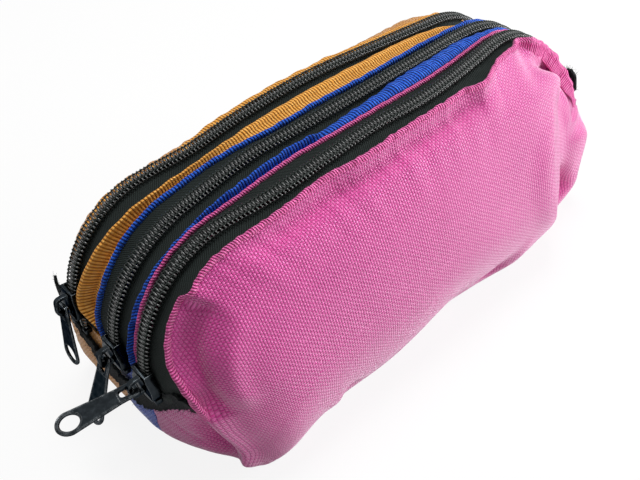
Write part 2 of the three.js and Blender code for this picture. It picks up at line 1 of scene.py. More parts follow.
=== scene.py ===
"""Dresses a soft pencil case with three zipped compartments.

The case is sewn from pink, blue and orange cloth, with black coil zips, painted sliders and pulls
and black webbing across both ends. Lengths inside the functions are in millimetres and become
metres when a mesh is made. +X runs along the case, -Y is the front and +Z is up.
"""

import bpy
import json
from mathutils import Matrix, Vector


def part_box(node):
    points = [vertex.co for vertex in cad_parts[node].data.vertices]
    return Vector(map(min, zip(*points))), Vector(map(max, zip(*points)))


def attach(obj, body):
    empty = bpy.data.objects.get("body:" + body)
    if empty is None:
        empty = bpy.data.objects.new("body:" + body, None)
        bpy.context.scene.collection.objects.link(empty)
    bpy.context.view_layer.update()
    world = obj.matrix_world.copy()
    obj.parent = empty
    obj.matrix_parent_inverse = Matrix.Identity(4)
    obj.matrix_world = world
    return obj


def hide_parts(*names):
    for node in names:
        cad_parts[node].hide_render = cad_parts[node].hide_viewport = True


bl_info = {
    "name": "Pencil case",
    "version": (1, 0, 0),
    "blender": (4, 5, 0),
    "location": "View3D > Sidebar > Pencil case",
    "description": "Builds the cloth, zips, sliders and webbing of a three-compartment pencil case",
    "category": "Add Mesh",
}

import json
import math

import bmesh
import bpy
import numpy as np
from mathutils import Matrix, Vector
from mathutils.geometry import tessellate_polygon

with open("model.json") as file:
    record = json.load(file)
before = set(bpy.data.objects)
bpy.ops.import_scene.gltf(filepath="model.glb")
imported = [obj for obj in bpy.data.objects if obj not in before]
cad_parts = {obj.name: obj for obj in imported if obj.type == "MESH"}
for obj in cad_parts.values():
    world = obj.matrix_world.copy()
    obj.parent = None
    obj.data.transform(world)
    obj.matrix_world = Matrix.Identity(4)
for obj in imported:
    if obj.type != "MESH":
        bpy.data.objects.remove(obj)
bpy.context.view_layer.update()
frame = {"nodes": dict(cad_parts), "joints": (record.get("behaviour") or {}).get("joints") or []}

MM = 0.001
NAMES = ("front", "middle", "back")
COLOURS = {"front": "pink", "middle": "blue", "back": "orange"}
JOINTS = {joint["name"]: joint for joint in frame["joints"]}
CORNER = 12.0  # radius of the outline's lower corners
PANEL_CENTRE = 38.0  # height of the middle of the front and back panels
BASE_DEPTH = 42.0  # depth of the outer seams at the base
TOP_DEPTH = {"front": 26.8, "middle": 0.0, "back": 31.8}  # and at the top
BULGE = {"front": 10.5, "back": 6.5}  # how far the panels stand out past their seams
GUSSET_EDGES = {"front": (None, -10.25), "middle": (-10.15, 7.75), "back": (7.85, None)}
TUCK = np.array((4.0, 6.0, 0.0))  # how the near foot of the front is drawn in
PANEL_FOOT = 0.35  # lowest height of the panels' edges
COIL_LINE, THREAD_LINE = (1.12, 1.4), (1.78, 2.34)  # centre lines beside the zip, and above the cloth
PARTING, PARTING_START, PARTING_RUN = 1.6, 1.9, 2.9  # how far the rows part, and where round the slider
BAND_THICKNESS, BAND_LIFT = 1.0, 0.9  # of the webbing, and its place above the cloth

# Sideways sway of each zip line, and its rise, at shares of the zip's length
SWAY_SHARES = {
    "front": ((0, 0), (0.27, 0), (0.32, -1.8), (0.42, -1.6), (0.51, -0.9), (0.58, -2.2), (0.64, -1.4),
              (0.7, 0.8), (0.76, 3.4), (0.82, 4.6), (0.9, 3.6), (1, 1.5)),
    "middle": ((0, 0), (0.26, 0), (0.31, 1.4), (0.37, 2.3), (0.43, 0.9), (0.5, -0.3), (0.66, -0.7),
               (0.76, 0.6), (0.84, 0.5), (1, 0)),
    "back": ((0, 0), (0.26, 0), (0.32, -1.4), (0.4, -0.3), (0.55, -0.6), (0.64, -2.2), (0.72, -3.0),
             (0.8, -3.2), (0.9, -2.0), (1, -0.5)),
}
RISE_SHARES = {
    "front": ((0, 0), (0.3, 0), (0.7, 0), (0.79, 0.4), (0.85, -1.2), (0.91, -3), (0.96, -3.6), (1, -3)),
    "middle": ((0, 0), (0.3, 0), (0.8, 0), (0.9, -1.5), (1, -1.5)),
    "back": ((0, 0), (0.3, 0), (0.6, 0), (0.72, -1.4), (0.84, -2.6), (0.92, -1.6), (1, 0)),
}


# ---- numbers -------------------------------------------------------------------------------------


def table(at, pairs):
    """Smooth values at places, through a short list of (place, value) pairs."""
    x = np.array([p[0] for p in pairs], float)
    y = np.array([p[1] for p in pairs], float)
    slope = np.gradient(y, x)
    at = np.clip(np.asarray(at, float), x[0], x[-1])
    k = np.clip(np.searchsorted(x, at) - 1, 0, len(x) - 2)
    h = x[k + 1] - x[k]
    t = (at - x[k]) / h
    low = (2 * t**3 - 3 * t**2 + 1) * y[k] + (t**3 - 2 * t**2 + t) * h * slope[k]
    return low + (3 * t**2 - 2 * t**3) * y[k + 1] + (t**3 - t**2) * h * slope[k + 1]


def ease(at, low, high):
    """0 below low and 1 above high, with a smooth change between."""
    t = np.clip((np.asarray(at, float) - low) / (high - low), 0, 1)
    return t * t * (3 - 2 * t)


def window(at, low, full, last, high):
    """1 between two places, with a smooth change to 0 on either side."""
    return ease(at, low, full) * (1 - ease(at, last, high))


def bell(at, centre, width):
    """1 at the centre, falling away over the width on both sides."""
    return np.exp(-(((at - centre) / width) ** 2))


def ripple(at, length, seed):
    """Repeatable waviness between about -1 and 1 with one main wave length."""
    total = 0.0
    for k in range(4):
        phase = 6.283 * ((math.sin((seed + 2.3 * k) * 12.9898) * 43.7585) % 1.0)
        total = total + np.sin(2 * math.pi * at / (length * (0.62 + 0.31 * k)) + phase) * (0.5 - 0.06 * k)
    return total


class Arch:
    """Outline of one compartment in the XZ plane, with its zip line arching over the top."""

    def __init__(self, name, wall):
        high = np.array(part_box(wall)[1]) / MM
        pivot = np.array(JOINTS[name + "_slider_travel"]["pos_m"]) / MM
        self.name = name
        self.half, self.height = high[0], high[2]
        self.zip_y, self.centre_z = pivot[1], pivot[2]
        self.radius = self.half + pivot[0]
        crown = self.height - self.radius - self.centre_z
        half_top = self.half - self.radius
        tilt = 2 * math.atan(crown / half_top)
        top_radius = self.radius + half_top / math.sin(tilt)
        climb = self.centre_z - CORNER
        end_arc = self.radius * (math.pi / 2 - tilt)
        turn = CORNER * math.pi / 2
        runs = ((climb, 0), (end_arc, self.radius), (2 * top_radius * tilt, top_radius),
                (end_arc, self.radius), (climb, 0), (turn, CORNER), (2 * (self.half - CORNER), 0),
                (turn, CORNER))
        x, z, angle, start = -self.half, CORNER, math.pi / 2, 0.0
        rows = []
        for length, radius in runs:
            steps = max(4, int(length))
            for i in range(steps):
                along = length * i / steps
                rows.append((start + along, *self._move(x, z, angle, along, radius)))
            x, z, tx, tz = self._move(x, z, angle, length, radius)
            angle = math.atan2(tz, tx)
            start += length
        rows.append((start, x, z, tx, tz))
        self.s, self.x, self.z, self.tx, self.tz = np.array(rows).T
        self.length = start
        self.climb = climb
        self.zip_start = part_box(name + "_zip_tape_inner")[0].z / MM - CORNER
        self.zip_end = climb + 2 * end_arc + 2 * top_radius * tilt

    @staticmethod
    def _move(x, z, angle, along, radius):
        if radius:
            turned = angle - along / radius
            cx, cz = x + radius * math.sin(angle), z - radius * math.cos(angle)
            return (cx - radius * math.sin(turned), cz + radius * math.cos(turned),
                    math.cos(turned), math.sin(turned))
        return x + along * math.cos(angle), z + along * math.sin(angle), math.cos(angle), math.sin(angle)

    def share(self, s):
        return (np.asarray(s, float) - self.zip_start) / (self.zip_end - self.zip_start)

    def point(self, s, y, n):
        """Points at length s along the outline, at depth y and n outside it."""
        s, y, n = np.broadcast_arrays(np.asarray(s, float) % self.length, y, n)
        x = np.interp(s, self.s, self.x) - n * np.interp(s, self.s, self.tz)
        z = np.interp(s, self.s, self.z) + n * np.interp(s, self.s, self.tx)
        return np.stack([x, y, z], -1)

    def sway(self, s):
        return table(self.share(s), SWAY_SHARES[self.name])

    def rise(self, s):
        return table(self.share(s), RISE_SHARES[self.name])


ARCHES = {
    "front": Arch("front", "front_rear_wall"),
    "middle": Arch("middle", "middle_rear_wall"),
    "back": Arch("back", "back_front_wall"),
}


# How far the front cloth is drawn in: at heights at the near end, and at places along its foot
NEAR_DRAW = ((0, 10), (10, 13), (31, 8), (50, 3.5), (64, 0), (100, 0))
FOOT_DRAW = ((-105, 1), (-74, 0), (-60, 2.4), (-15, 2.5), (0, 4), (14, 6), (30, 4.6), (50, 1.9),
             (62, 1.8), (75, 3.6), (90, 6), (105, 3))


def slump(points):
    """Soft settling shared by all front cloth: its foot and both lower front corners draw in."""
    x, y, z = points[..., 0], points[..., 1], points[..., 2]
    moved = points.copy()
    moved[..., 0] = x + table(z, NEAR_DRAW) * (1 - ease(x, -104, -66)) * ease(-y, 6, 46)
    foot = table(x, FOOT_DRAW) * (1 - ease(z, 0, 40)) * ease(-y, 12, 40)
    far = 6.0 * np.clip((x - 76) / 29, 0, 1) ** 1.3 * (1 - ease(z, 12, 66)) * ease(-y, 8, 40)
    moved[..., 1] = y + foot + far
    return moved


def slump_edge(points):
    """The same settling for what is sewn to the front cloth, growing towards its hem."""
    return points + (slump(points) - points) * ease(-points[..., 1:2], 22, 36)


# ---- meshes --------------------------------------------------------------------------------------


class Surface:
    """Collects closed bodies of faces with cloth coordinates, then makes one mesh of them."""

    def __init__(self):
        self.points, self.faces, self.corners = [], [], []
        self.count = self.mark = 0

    def add_points(self, points):
        first = self.count
        flat = np.asarray(points, float).reshape(-1, 3)
        self.points.append(flat)
        self.count += len(flat)
        return first

    def grid(self, points, coords, wrap_rows=False, wrap_columns=False, flip=False):
        """Quads over a grid of points; coords has one more row or column where the grid wraps."""
        rows, columns = points.shape[:2]
        first = self.add_points(points)
        last = rows - (not wrap_rows), columns - (not wrap_columns)
        r, c = np.meshgrid(np.arange(last[0]), np.arange(last[1]), indexing="ij")
        ring = ((r, c), (r + 1, c), (r + 1, c + 1), (r, c + 1))
        quads = np.stack([(a % rows) * columns + (b % columns) + first for a, b in ring], -1).reshape(-1, 4)
        corners = np.stack([coords[a, b] for a, b in ring], -2).reshape(-1, 4, 2)
        if flip:
            quads, corners = quads[:, ::-1], corners[:, ::-1]
        self.faces.extend(quads.tolist())
        self.corners.extend(corners.tolist())
        return first

    def strip(self, one, two, coords):
        """Quads between two rows of points that are already there."""
        for i in range(len(one) - 1):
            self.faces.append([one[i], one[i + 1], two[i + 1], two[i]])
            self.corners.append([coords[i], coords[i + 1], coords[i + 1], coords[i]])

    def zip_rows(self, one, two, coords):
        """Triangles between two chains of points that run the same way along X."""
        points = np.concatenate(self.points)
        i = j = 0
        while i < len(one) - 1 or j < len(two) - 1:
            first = j == len(two) - 1 or (i < len(one) - 1 and points[one[i + 1]][0] < points[two[j + 1]][0])
            face = [one[i], one[i + 1], two[j]] if first else [one[i], two[j + 1], two[j]]
            i, j = (i + 1, j) if first else (i, j + 1)
            self.faces.append(face)
            self.corners.append([coords[k] for k in face])

    def cap(self, ring, coords):
        self.faces.append(list(ring))
        self.corners.append([list(c) for c in coords])

    def close(self):
        """Turns the faces added since the last close outwards."""
        points = np.concatenate(self.points)
        faces = self.faces[self.mark:]
        volume = 0.0
        for face in faces:
            a = points[face[0]]
            for k in range(1, len(face) - 1):
                b, c = points[face[k]], points[face[k + 1]]
                volume += a[0] * (b[1] * c[2] - b[2] * c[1]) - a[1] * (b[0] * c[2] - b[2] * c[0]) \
                    + a[2] * (b[0] * c[1] - b[1] * c[0])
        if volume < 0:
            self.faces[self.mark:] = [f[::-1] for f in faces]
            self.corners[self.mark:] = [c[::-1] for c in self.corners[self.mark:]]
        self.mark = len(self.faces)

    def build(self, name):
        """The collected faces as an object, smooth but for its sharp edges."""
        mesh = bpy.data.meshes.new(name)
        mesh.from_pydata((np.concatenate(self.points) * MM).tolist(), [], self.faces)
        layer = mesh.uv_layers.new(name="cloth")
        flat = np.array([c for face in self.corners for c in face], float) * MM
        layer.data.foreach_set("uv", flat.astype(np.float32).ravel())
        smooth(mesh, 40.0)
        mesh.validate()
        return new_object(name, mesh)


def smooth(mesh, sharp):
    """Smooth shading, with edges past an angle in degrees left sharp."""
    mesh.shade_smooth()
    mesh.set_sharp_from_angle(angle=math.radians(sharp))


def new_object(name, data):
    obj = bpy.data.objects.new(name, data)
    bpy.context.scene.collection.objects.link(obj)
    return obj


def baked(carrier, name):
    """A plain object with the mesh that a carrier's modifier makes."""
    graph = bpy.context.evaluated_depsgraph_get()
    mesh = bpy.data.meshes.new_from_object(carrier.evaluated_get(graph))
    mesh.name = name
    bpy.data.objects.remove(carrier)
    return new_object(name, mesh)


def grid_normals(points, wrap_rows=False):
    """Unit normals of a grid of points."""
    along = np.roll(points, -1, 0) - np.roll(points, 1, 0) if wrap_rows else np.gradient(points, axis=0)
    normal = np.cross(along, np.gradient(points, axis=1))
    return normal / np.maximum(np.linalg.norm(normal, axis=-1, keepdims=True), 1e-9)


def length_coords(points):
    """Cloth coordinates of a grid: its mean length along the rows and across the columns."""
    along = np.r_[0, np.cumsum(np.linalg.norm(np.diff(points, axis=0), axis=-1).mean(1))]
    across = np.r_[0, np.cumsum(np.linalg.norm(np.diff(points, axis=1), axis=-1).mean(0))]
    return np.stack(np.meshgrid(along, across, indexing="ij"), -1)


def tube(rings):
    """A closed tube through rings of points, each a row, capped at both ends."""
    surface = Surface()
    coords = length_coords(np.concatenate([rings, rings[:, :1]], 1))
    first = surface.grid(rings, coords, wrap_columns=True)
    count = rings.shape[1]
    last = first + (len(rings) - 1) * count
    surface.cap(range(first, first + count), coords[0, :count])
    surface.cap(range(last + count - 1, last - 1, -1), coords[-1, :count][::-1])
    surface.close()
    return surface


def sheet(outer, coords, thickness, away, crest=False):
    """A cloth of even thickness whose outer face is a grid of points; away points out of it.

    With a crest, the rows close to a ring and the last column folds together along a line.
    """
    normal = grid_normals(outer, crest)
    if crest:
        normal[:, -3:] = normal[:, -4:-3]
    if np.mean(np.sum(normal * away, -1)) < 0:
        normal = -normal
    surface = Surface()
    rows, columns = outer.shape[:2]
    first = surface.grid(outer, coords, crest)
    second = surface.grid(outer - normal * thickness, coords, crest, flip=True)
    flat = coords[:rows, :columns].reshape(-1, 2).tolist()

    def border(pick):
        surface.strip([second + k for k in pick], [first + k for k in pick], [flat[k] for k in pick])

    ends = [r * columns for r in range(rows)]
    if crest:
        border([*ends, 0])
        ring = outer[:, -1]
        left, right = int(np.argmin(ring[:, 0])), int(np.argmax(ring[:, 0]))
        up = [(left + k) % rows for k in range((right - left) % rows + 1)]
        down = [(left - k) % rows for k in range((left - right) % rows + 1)]
        for start, chains in ((first, (up, down)), (second, (down, up))):
            rows_at = [[start + r * columns + columns - 1 for r in chain] for chain in chains]
            surface.zip_rows(*rows_at, {k: flat[k - start] for chain in rows_at for k in chain})
    else:
        border(ends)
        border([k + columns - 1 for k in ends][::-1])
        border(list(range(columns))[::-1])
        border(list(range((rows - 1) * columns, rows * columns)))
    surface.close()
    return surface


def finish(obj, body, slot, *nodes, material=None):
    """Gives a piece its body and finish, and hides the nodes that it stands for; its slot is not used."""
    if material is not None:
        obj.data.materials.clear()
        obj.data.materials.append(material)
    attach(obj, body)
    if nodes:
        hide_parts(*nodes)


# ---- node trees and finishes ---------------------------------------------------------------------


def linear(colour):
    """A display colour, 0 to 255, as the linear value that a socket takes."""
    return tuple(c / 12.92 if c <= 0.04045 else ((c + 0.055) / 1.055) ** 2.4
                 for c in (channel / 255.0 for channel in colour))


class Tree:
    """Adds and links the nodes of one node tree."""

    def __init__(self, tree):
        self.tree = tree
        tree.nodes.clear()

    def put(self, value, socket):
        """Links a socket to an input, or sets the input to a value."""
        if isinstance(value, bpy.types.NodeSocket):
            self.tree.links.new(value, socket)
        else:
            socket.default_value = (*value, 1)[:4] if socket.type == "RGBA" else value

    def add(self, kind, *values, **settings):
        """A node with its properties and inputs set by name, and then its inputs in order."""
        node = self.tree.nodes.new(kind)
        for key, value in settings.items():
            if hasattr(node, key):
                setattr(node, key, value)
            else:
                self.put(value, node.inputs[key.replace("_", " ")])
        for k, value in enumerate(values):
            if value is not None:
                self.put(value, node.inputs[k])
        return node

    def math(self, operation, *values, clamp=False):
        return self.add("ShaderNodeMath", *values, operation=operation, use_clamp=clamp).outputs[0]

    def plus(self, one, two):
        return self.math("ADD", one, two)

    def minus(self, one, two):
        return self.math("SUBTRACT", one, two)

    def times(self, one, two):
        return self.math("MULTIPLY", one, two)

    def vector(self, operation, *values, **settings):
        return self.add("ShaderNodeVectorMath", *values, operation=operation, **settings).outputs[0]

    def seen(self):
        """1 for rays from the camera and off glossy faces, and the outputs of the ray's path."""
        path = self.add("ShaderNodeLightPath").outputs
        return self.math("MAXIMUM", path["Is Camera Ray"], path["Is Glossy Ray"]), path


class Shader(Tree):
    """The nodes of one material."""

    def __init__(self, name):
        self.material = bpy.data.materials.get(name) or bpy.data.materials.new(name)
        self.material.use_nodes = True
        super().__init__(self.material.node_tree)

    def mix(self, factor, low, high):
        """A colour between two, each a socket or a display colour."""
        node = self.add("ShaderNodeMix", factor, data_type="RGBA")
        for k, value in ((6, low), (7, high)):
            self.put(linear(value) if isinstance(value, tuple) else value, node.inputs[k])
        return node.outputs[2]

    def fit(self, value, low, high, to_low=0.0, to_high=1.0):
        """A smooth change of a value from one range to another."""
        return self.add("ShaderNodeMapRange", value, low, high, to_low, to_high,
                        interpolation_type="SMOOTHSTEP").outputs[0]

    def cloth(self):
        """The piece's cloth coordinates in millimetres, as two values and a vector."""
        vector = self.vector("SCALE", self.add("ShaderNodeUVMap", uv_map="cloth").outputs[0], Scale=1 / MM)
        return *self.split(vector), vector

    def split(self, vector):
        return self.add("ShaderNodeSeparateXYZ", vector).outputs[:2]

    def place(self):
        """Object coordinates in millimetres."""
        return self.vector("SCALE", self.add("ShaderNodeTexCoord").outputs["Object"], Scale=1 / MM)

    def noise(self, vector, size, detail=3.0, rough=0.5, output="Fac"):
        """Noise from 0 to 1 whose blotches are about size millimetres across."""
        node = self.add("ShaderNodeTexNoise", Vector=vector, Scale=1 / size, Detail=detail, Roughness=rough)
        return node.outputs[output]

    def cell(self, value, pitch):
        """Place within one repeat, from -0.5 to 0.5."""
        return self.minus(self.math("FRACT", self.math("DIVIDE", value, pitch)), 0.5)

    def hump(self, cell, drop):
        """1 in the middle of a repeat, falling off to both sides."""
        return self.minus(1.0, self.times(self.times(cell, cell), drop))

    def weave(self, u, v, pitch_u, pitch_v):
        """Plain weave: its height, and a mask of its raised warp knots that the cloth finishes paint lighter
        as a painted highlight.
        """
        row = self.math("FLOOR", self.math("DIVIDE", u, pitch_u))
        column = self.math("FLOOR", self.math("DIVIDE", v, pitch_v))
        parity = self.math("MODULO", self.math("ABSOLUTE", self.plus(row, column)), 2.0)
        cells = self.cell(u, pitch_u), self.cell(v, pitch_v)
        warp, weft = (self.math("MULTIPLY", self.hump(side, 3.6), self.hump(along, 1.9), clamp=True)
                      for side, along in (cells, cells[::-1]))
        knot = self.times(warp, parity)
        return self.plus(knot, self.times(weft, self.minus(1.0, parity))), knot

    def end(self, colour, roughness, height, depth, strength, **others):
        """The material, with its colour, roughness, bump and other values."""
        bump = self.add("ShaderNodeBump", Strength=strength, Distance=depth * MM, Height=height)
        surface = self.add("ShaderNodeBsdfPrincipled", Base_Color=colour, Roughness=roughness,
                           Normal=bump.outputs[0], **others)
        self.add("ShaderNodeOutputMaterial", Surface=surface.outputs[0])
        return self.material


def woven_cloth(name, colour, gap_shade, light, fold, sheen):
    """Coarse plain-woven cloth with a soft sheen, its raised knots painted lighter as painted highlights and
    its gaps painted darker as painted shade.
    """
    s = Shader(name)
    vector = s.cloth()[2]
    drift = s.vector("SCALE", s.noise(vector, 9.0, 2.0, output="Color"), Scale=0.5)
    height, knot = s.weave(*s.split(s.vector("ADD", vector, drift)), 1.03, 0.87)
    fibre, yarn = s.noise(vector, 0.16, 4.0, 0.7), s.noise(vector, 1.3, 2.0)
    blotch = s.noise(s.place(), 16.0)
    # Painted highlight on the raised warp knots, and painted shade in the low gaps between the yarns; the
    # light colour also lightens random patches
    painted_highlight = s.times(s.fit(knot, 0.15, 0.85), s.fit(yarn, 0.25, 0.75, 0.3, 0.7))
    tone = s.mix(painted_highlight, s.mix(s.fit(height, 0.02, 0.55), gap_shade, colour), light)
    tone = s.mix(s.fit(blotch, 0.45, 0.75, 0.0, 0.06), tone, light)
    tone = s.mix(s.fit(blotch, 0.5, 0.25, 0.0, 0.08), tone, fold)
    return s.end(tone, s.fit(fibre, 0.2, 0.8, 0.4, 0.52), s.plus(height, s.times(fibre, 0.22)), 0.3, 0.9,
                 Specular_IOR_Level=0.25, Sheen_Weight=sheen, Sheen_Roughness=0.4,
                 Sheen_Tint=(1.0, 0.92, 1.0))


def ribbed_cloth(name, colour, gap_shade, light, pitch, slant, sheen):
    """The same cloth where it is folded over: yarns stand out as ribs across the fold, with painted
    highlights on the rib tops and painted shade between them.
    """
    s = Shader(name)
    u, v, vector = s.cloth()
    bend = s.times(s.minus(s.noise(vector, 4.0, 2.0), 0.5), 0.9)
    rib = s.hump(s.cell(s.plus(s.plus(u, s.times(v, slant)), bend), pitch), 4.0)
    height = s.times(rib, s.hump(s.cell(v, 1.3), 0.9))
    fibre, yarn = s.noise(vector, 0.15, 4.0, 0.7), s.noise(vector, 1.1, 2.0)
    blotch = s.noise(s.place(), 7.0)
    # Painted highlight on the tops of the ribs, and painted shade in the gaps between them; the shade colour
    # also darkens random patches
    painted_highlight = s.times(s.fit(height, 0.6, 1.0), s.fit(yarn, 0.3, 0.7, 0.15, 0.75))
    tone = s.mix(painted_highlight, s.mix(s.fit(height, 0.15, 0.8), gap_shade, colour), light)
    tone = s.mix(s.fit(blotch, 0.45, 0.75, 0.0, 0.2), tone, gap_shade)
    return s.end(tone, s.fit(fibre, 0.2, 0.8, 0.6, 0.85), s.plus(height, s.times(fibre, 0.25)), 0.5, 1.0,
                 Specular_IOR_Level=0.2, Sheen_Weight=sheen, Sheen_Roughness=0.4)


def twill_tape(name):
    """Black zip tape: fine slanted ribs crossed by rows along the tape."""
    s = Shader(name)
    u, v, vector = s.cloth()
    rib = s.hump(s.cell(s.plus(u, s.times(v, 0.7)), 0.85), 4.0)
    height = s.times(rib, s.hump(s.cell(v, 0.7), 1.6))
    fibre, lint = s.noise(vector, 0.14, 4.0, 0.7), s.noise(s.place(), 5.0, 4.0)
    # Painted shade and highlight: near black in the hollows between the ribs, lighter on their tops
    tone = s.mix(s.fit(height, 0.1, 0.95), (2, 3, 3), (34, 42, 40))
    tone = s.mix(s.fit(lint, 0.5, 0.75, 0.0, 0.3), tone, (36, 42, 41))
    return s.end(tone, s.fit(fibre, 0.2, 0.8, 0.7, 0.92), s.plus(height, s.times(fibre, 0.3)), 0.22, 0.9,
                 Specular_IOR_Level=0.15, Sheen_Weight=0.02)


def coil_nylon(name):
    """Smooth black nylon filament with slight rub marks."""
    s = Shader(name)
    grain, wear = s.noise(s.place(), 0.5), s.noise(s.place(), 3.5)
    tone = s.mix(s.fit(wear, 0.35, 0.75), (12, 16, 15), (32, 40, 38))
    return s.end(tone, s.fit(grain, 0.25, 0.75, 0.2, 0.36), grain, 0.02, 0.4, Specular_IOR_Level=1.0)


def black_thread(name):
    """Dull twisted thread."""
    s = Shader(name)
    grain = s.noise(s.place(), 0.25)
    return s.end(s.mix(grain, (16, 19, 18), (58, 66, 63)), 0.85, grain, 0.06, 0.8, Specular_IOR_Level=0.2)


def black_paint(name):
    """Glossy black enamel on metal with fine scratches and dust, its sharp edges painted light grey as worn
    paint and as a painted edge highlight.
    """
    s = Shader(name)
    fine, wear = s.noise(s.place(), 0.35, 4.0, 0.6), s.noise(s.place(), 2.2, 5.0, 0.6)
    edge = s.add("ShaderNodeBevel", samples=4, Radius=0.35 * MM).outputs[0]
    normal = s.add("ShaderNodeNewGeometry").outputs["Normal"]
    turn = s.add("ShaderNodeVectorMath", edge, normal, operation="DOT_PRODUCT").outputs["Value"]
    # Sharp edges, where the wear noise allows, are painted light grey: worn paint, and mostly a painted
    # highlight along the edges
    rim = s.times(s.fit(turn, 0.99, 0.85), s.fit(wear, 0.3, 0.65))
    tone = s.mix(s.fit(wear, 0.3, 0.8), (34, 38, 41), (48, 53, 57))
    tone = s.mix(s.times(rim, 0.8), tone, (150, 154, 156))
    return s.end(tone, s.fit(wear, 0.3, 0.8, 0.16, 0.3), fine, 0.015, 0.35, Metallic=1.0,
                 Specular_Tint=(0.35, 0.36, 0.37))


def webbing_weave(name):
    """Coarse black webbing with raised ribs and lint."""
    s = Shader(name)
    u, v, vector = s.cloth()
    height = s.weave(u, v, 0.9, 0.75)[0]
    fibre, lint = s.noise(vector, 0.2, 5.0, 0.75), s.noise(s.place(), 2.6, 4.0)
    # Painted shade and highlight: darker in the hollows of the weave, lighter on its raised ribs
    tone = s.mix(s.fit(height, 0.1, 0.9), (5, 6, 7), (30, 33, 35))
    tone = s.mix(s.fit(lint, 0.5, 0.75, 0.0, 0.35), tone, (54, 58, 60))
    return s.end(tone, 0.9, s.plus(height, s.times(fibre, 0.7)), 0.25, 0.9,
                 Specular_IOR_Level=0.1, Sheen_Weight=0.04)


def finishes():
    """All the finishes of the case, made once."""
    made = bpy.data.materials
    if "pink cloth" not in made:
        # Cloth colours in order: its own colour, the painted shade of its gaps, its painted highlight (also
        # lighter random patches) and a darker random tone
        woven_cloth("pink cloth", (206, 58, 146), (140, 20, 88), (240, 124, 194), (178, 46, 140), 1.0)
        woven_cloth("blue cloth", (24, 66, 168), (8, 26, 88), (80, 126, 220), (18, 44, 120), 0.4)
        woven_cloth("orange cloth", (202, 134, 50), (132, 74, 20), (238, 188, 112), (170, 104, 36), 0.3)
        # Fold colours in order: its own colour, the painted shade between ribs and the painted highlight on
        # the rib tops
        ribbed_cloth("pink fold", (222, 80, 156), (164, 36, 102), (250, 160, 212), 1.0, 0.4, 0.2)
        ribbed_cloth("blue fold", (14, 74, 194), (3, 14, 64), (70, 140, 250), 1.2, 0.15, 0.06)
        ribbed_cloth("orange fold", (238, 160, 54), (168, 100, 32), (255, 214, 132), 1.2, 0.1, 0.1)
        twill_tape("zip tape")
        coil_nylon("coil nylon")
        black_thread("coil thread")
        black_paint("black enamel")
        webbing_weave("webbing")
    return made


# ---- settings ------------------------------------------------------------------------------------


class CaseSettings(bpy.types.PropertyGroup):
    """Sizes of the sewn pieces."""

    cloth: bpy.props.FloatProperty(
        name="Cloth", description="Thickness of the cloth", default=0.0009, min=0.0003, unit="LENGTH")
    tape: bpy.props.FloatProperty(
        name="Tape", description="Thickness of the zip tape", default=0.0007, min=0.0003, unit="LENGTH")
    hem: bpy.props.FloatProperty(
        name="Hem", description="Width of the turned hem along the front zip", default=0.0015, unit="LENGTH")
    hem_height: bpy.props.FloatProperty(
        name="Hem height", description="Height of the hem's ridge", default=0.0013, unit="LENGTH")
    pull_rim: bpy.props.FloatProperty(
        name="Pull rim", description="Radius of the raised rim of a pull", default=0.0004, unit="LENGTH")
    pull_hole: bpy.props.FloatProperty(
        name="Pull hole", description="Radius of the hole in a pull's ring end", default=0.0036,
        unit="LENGTH")


class ZipSettings(bpy.types.PropertyGroup):
    """Sizes of the coil rows."""

    pitch: bpy.props.FloatProperty(
        name="Pitch", description="Length of one turn of the coil", default=0.0015, unit="LENGTH")
    filament: bpy.props.FloatProperty(
        name="Filament", description="Radius of the nylon filament", default=0.0003, unit="LENGTH")
    slant: bpy.props.FloatProperty(
        name="Slant", description="How far a turn leans along the row", default=0.0005, unit="LENGTH")
    steps: bpy.props.IntProperty(name="Steps", description="Points in one turn", default=10, min=6)


class StageSettings(bpy.types.PropertyGroup):
    """Light and camera."""

    sky: bpy.props.FloatProperty(name="Sky", description="Strength of the even light", default=0.2)
    key: bpy.props.FloatProperty(name="Key", description="Power of the main lamp", default=7.0, unit="POWER")
    fill: bpy.props.FloatProperty(
        name="Fill", description="Power of the lamp above", default=5.8, unit="POWER")
    lens: bpy.props.FloatProperty(name="Lens", description="Focal length in millimetres", default=51.66)


# ---- operators -----------------------------------------------------------------------------------


def lamp(name, place, target, size, power):
    light = bpy.data.lights.new(name, "AREA")
    light.shape, light.size, light.energy = "DISK", size, power
    obj = new_object(name, light)
    obj.location = place
    obj.rotation_euler = (Vector(target) - Vector(place)).to_track_quat("-Z", "Y").to_euler()


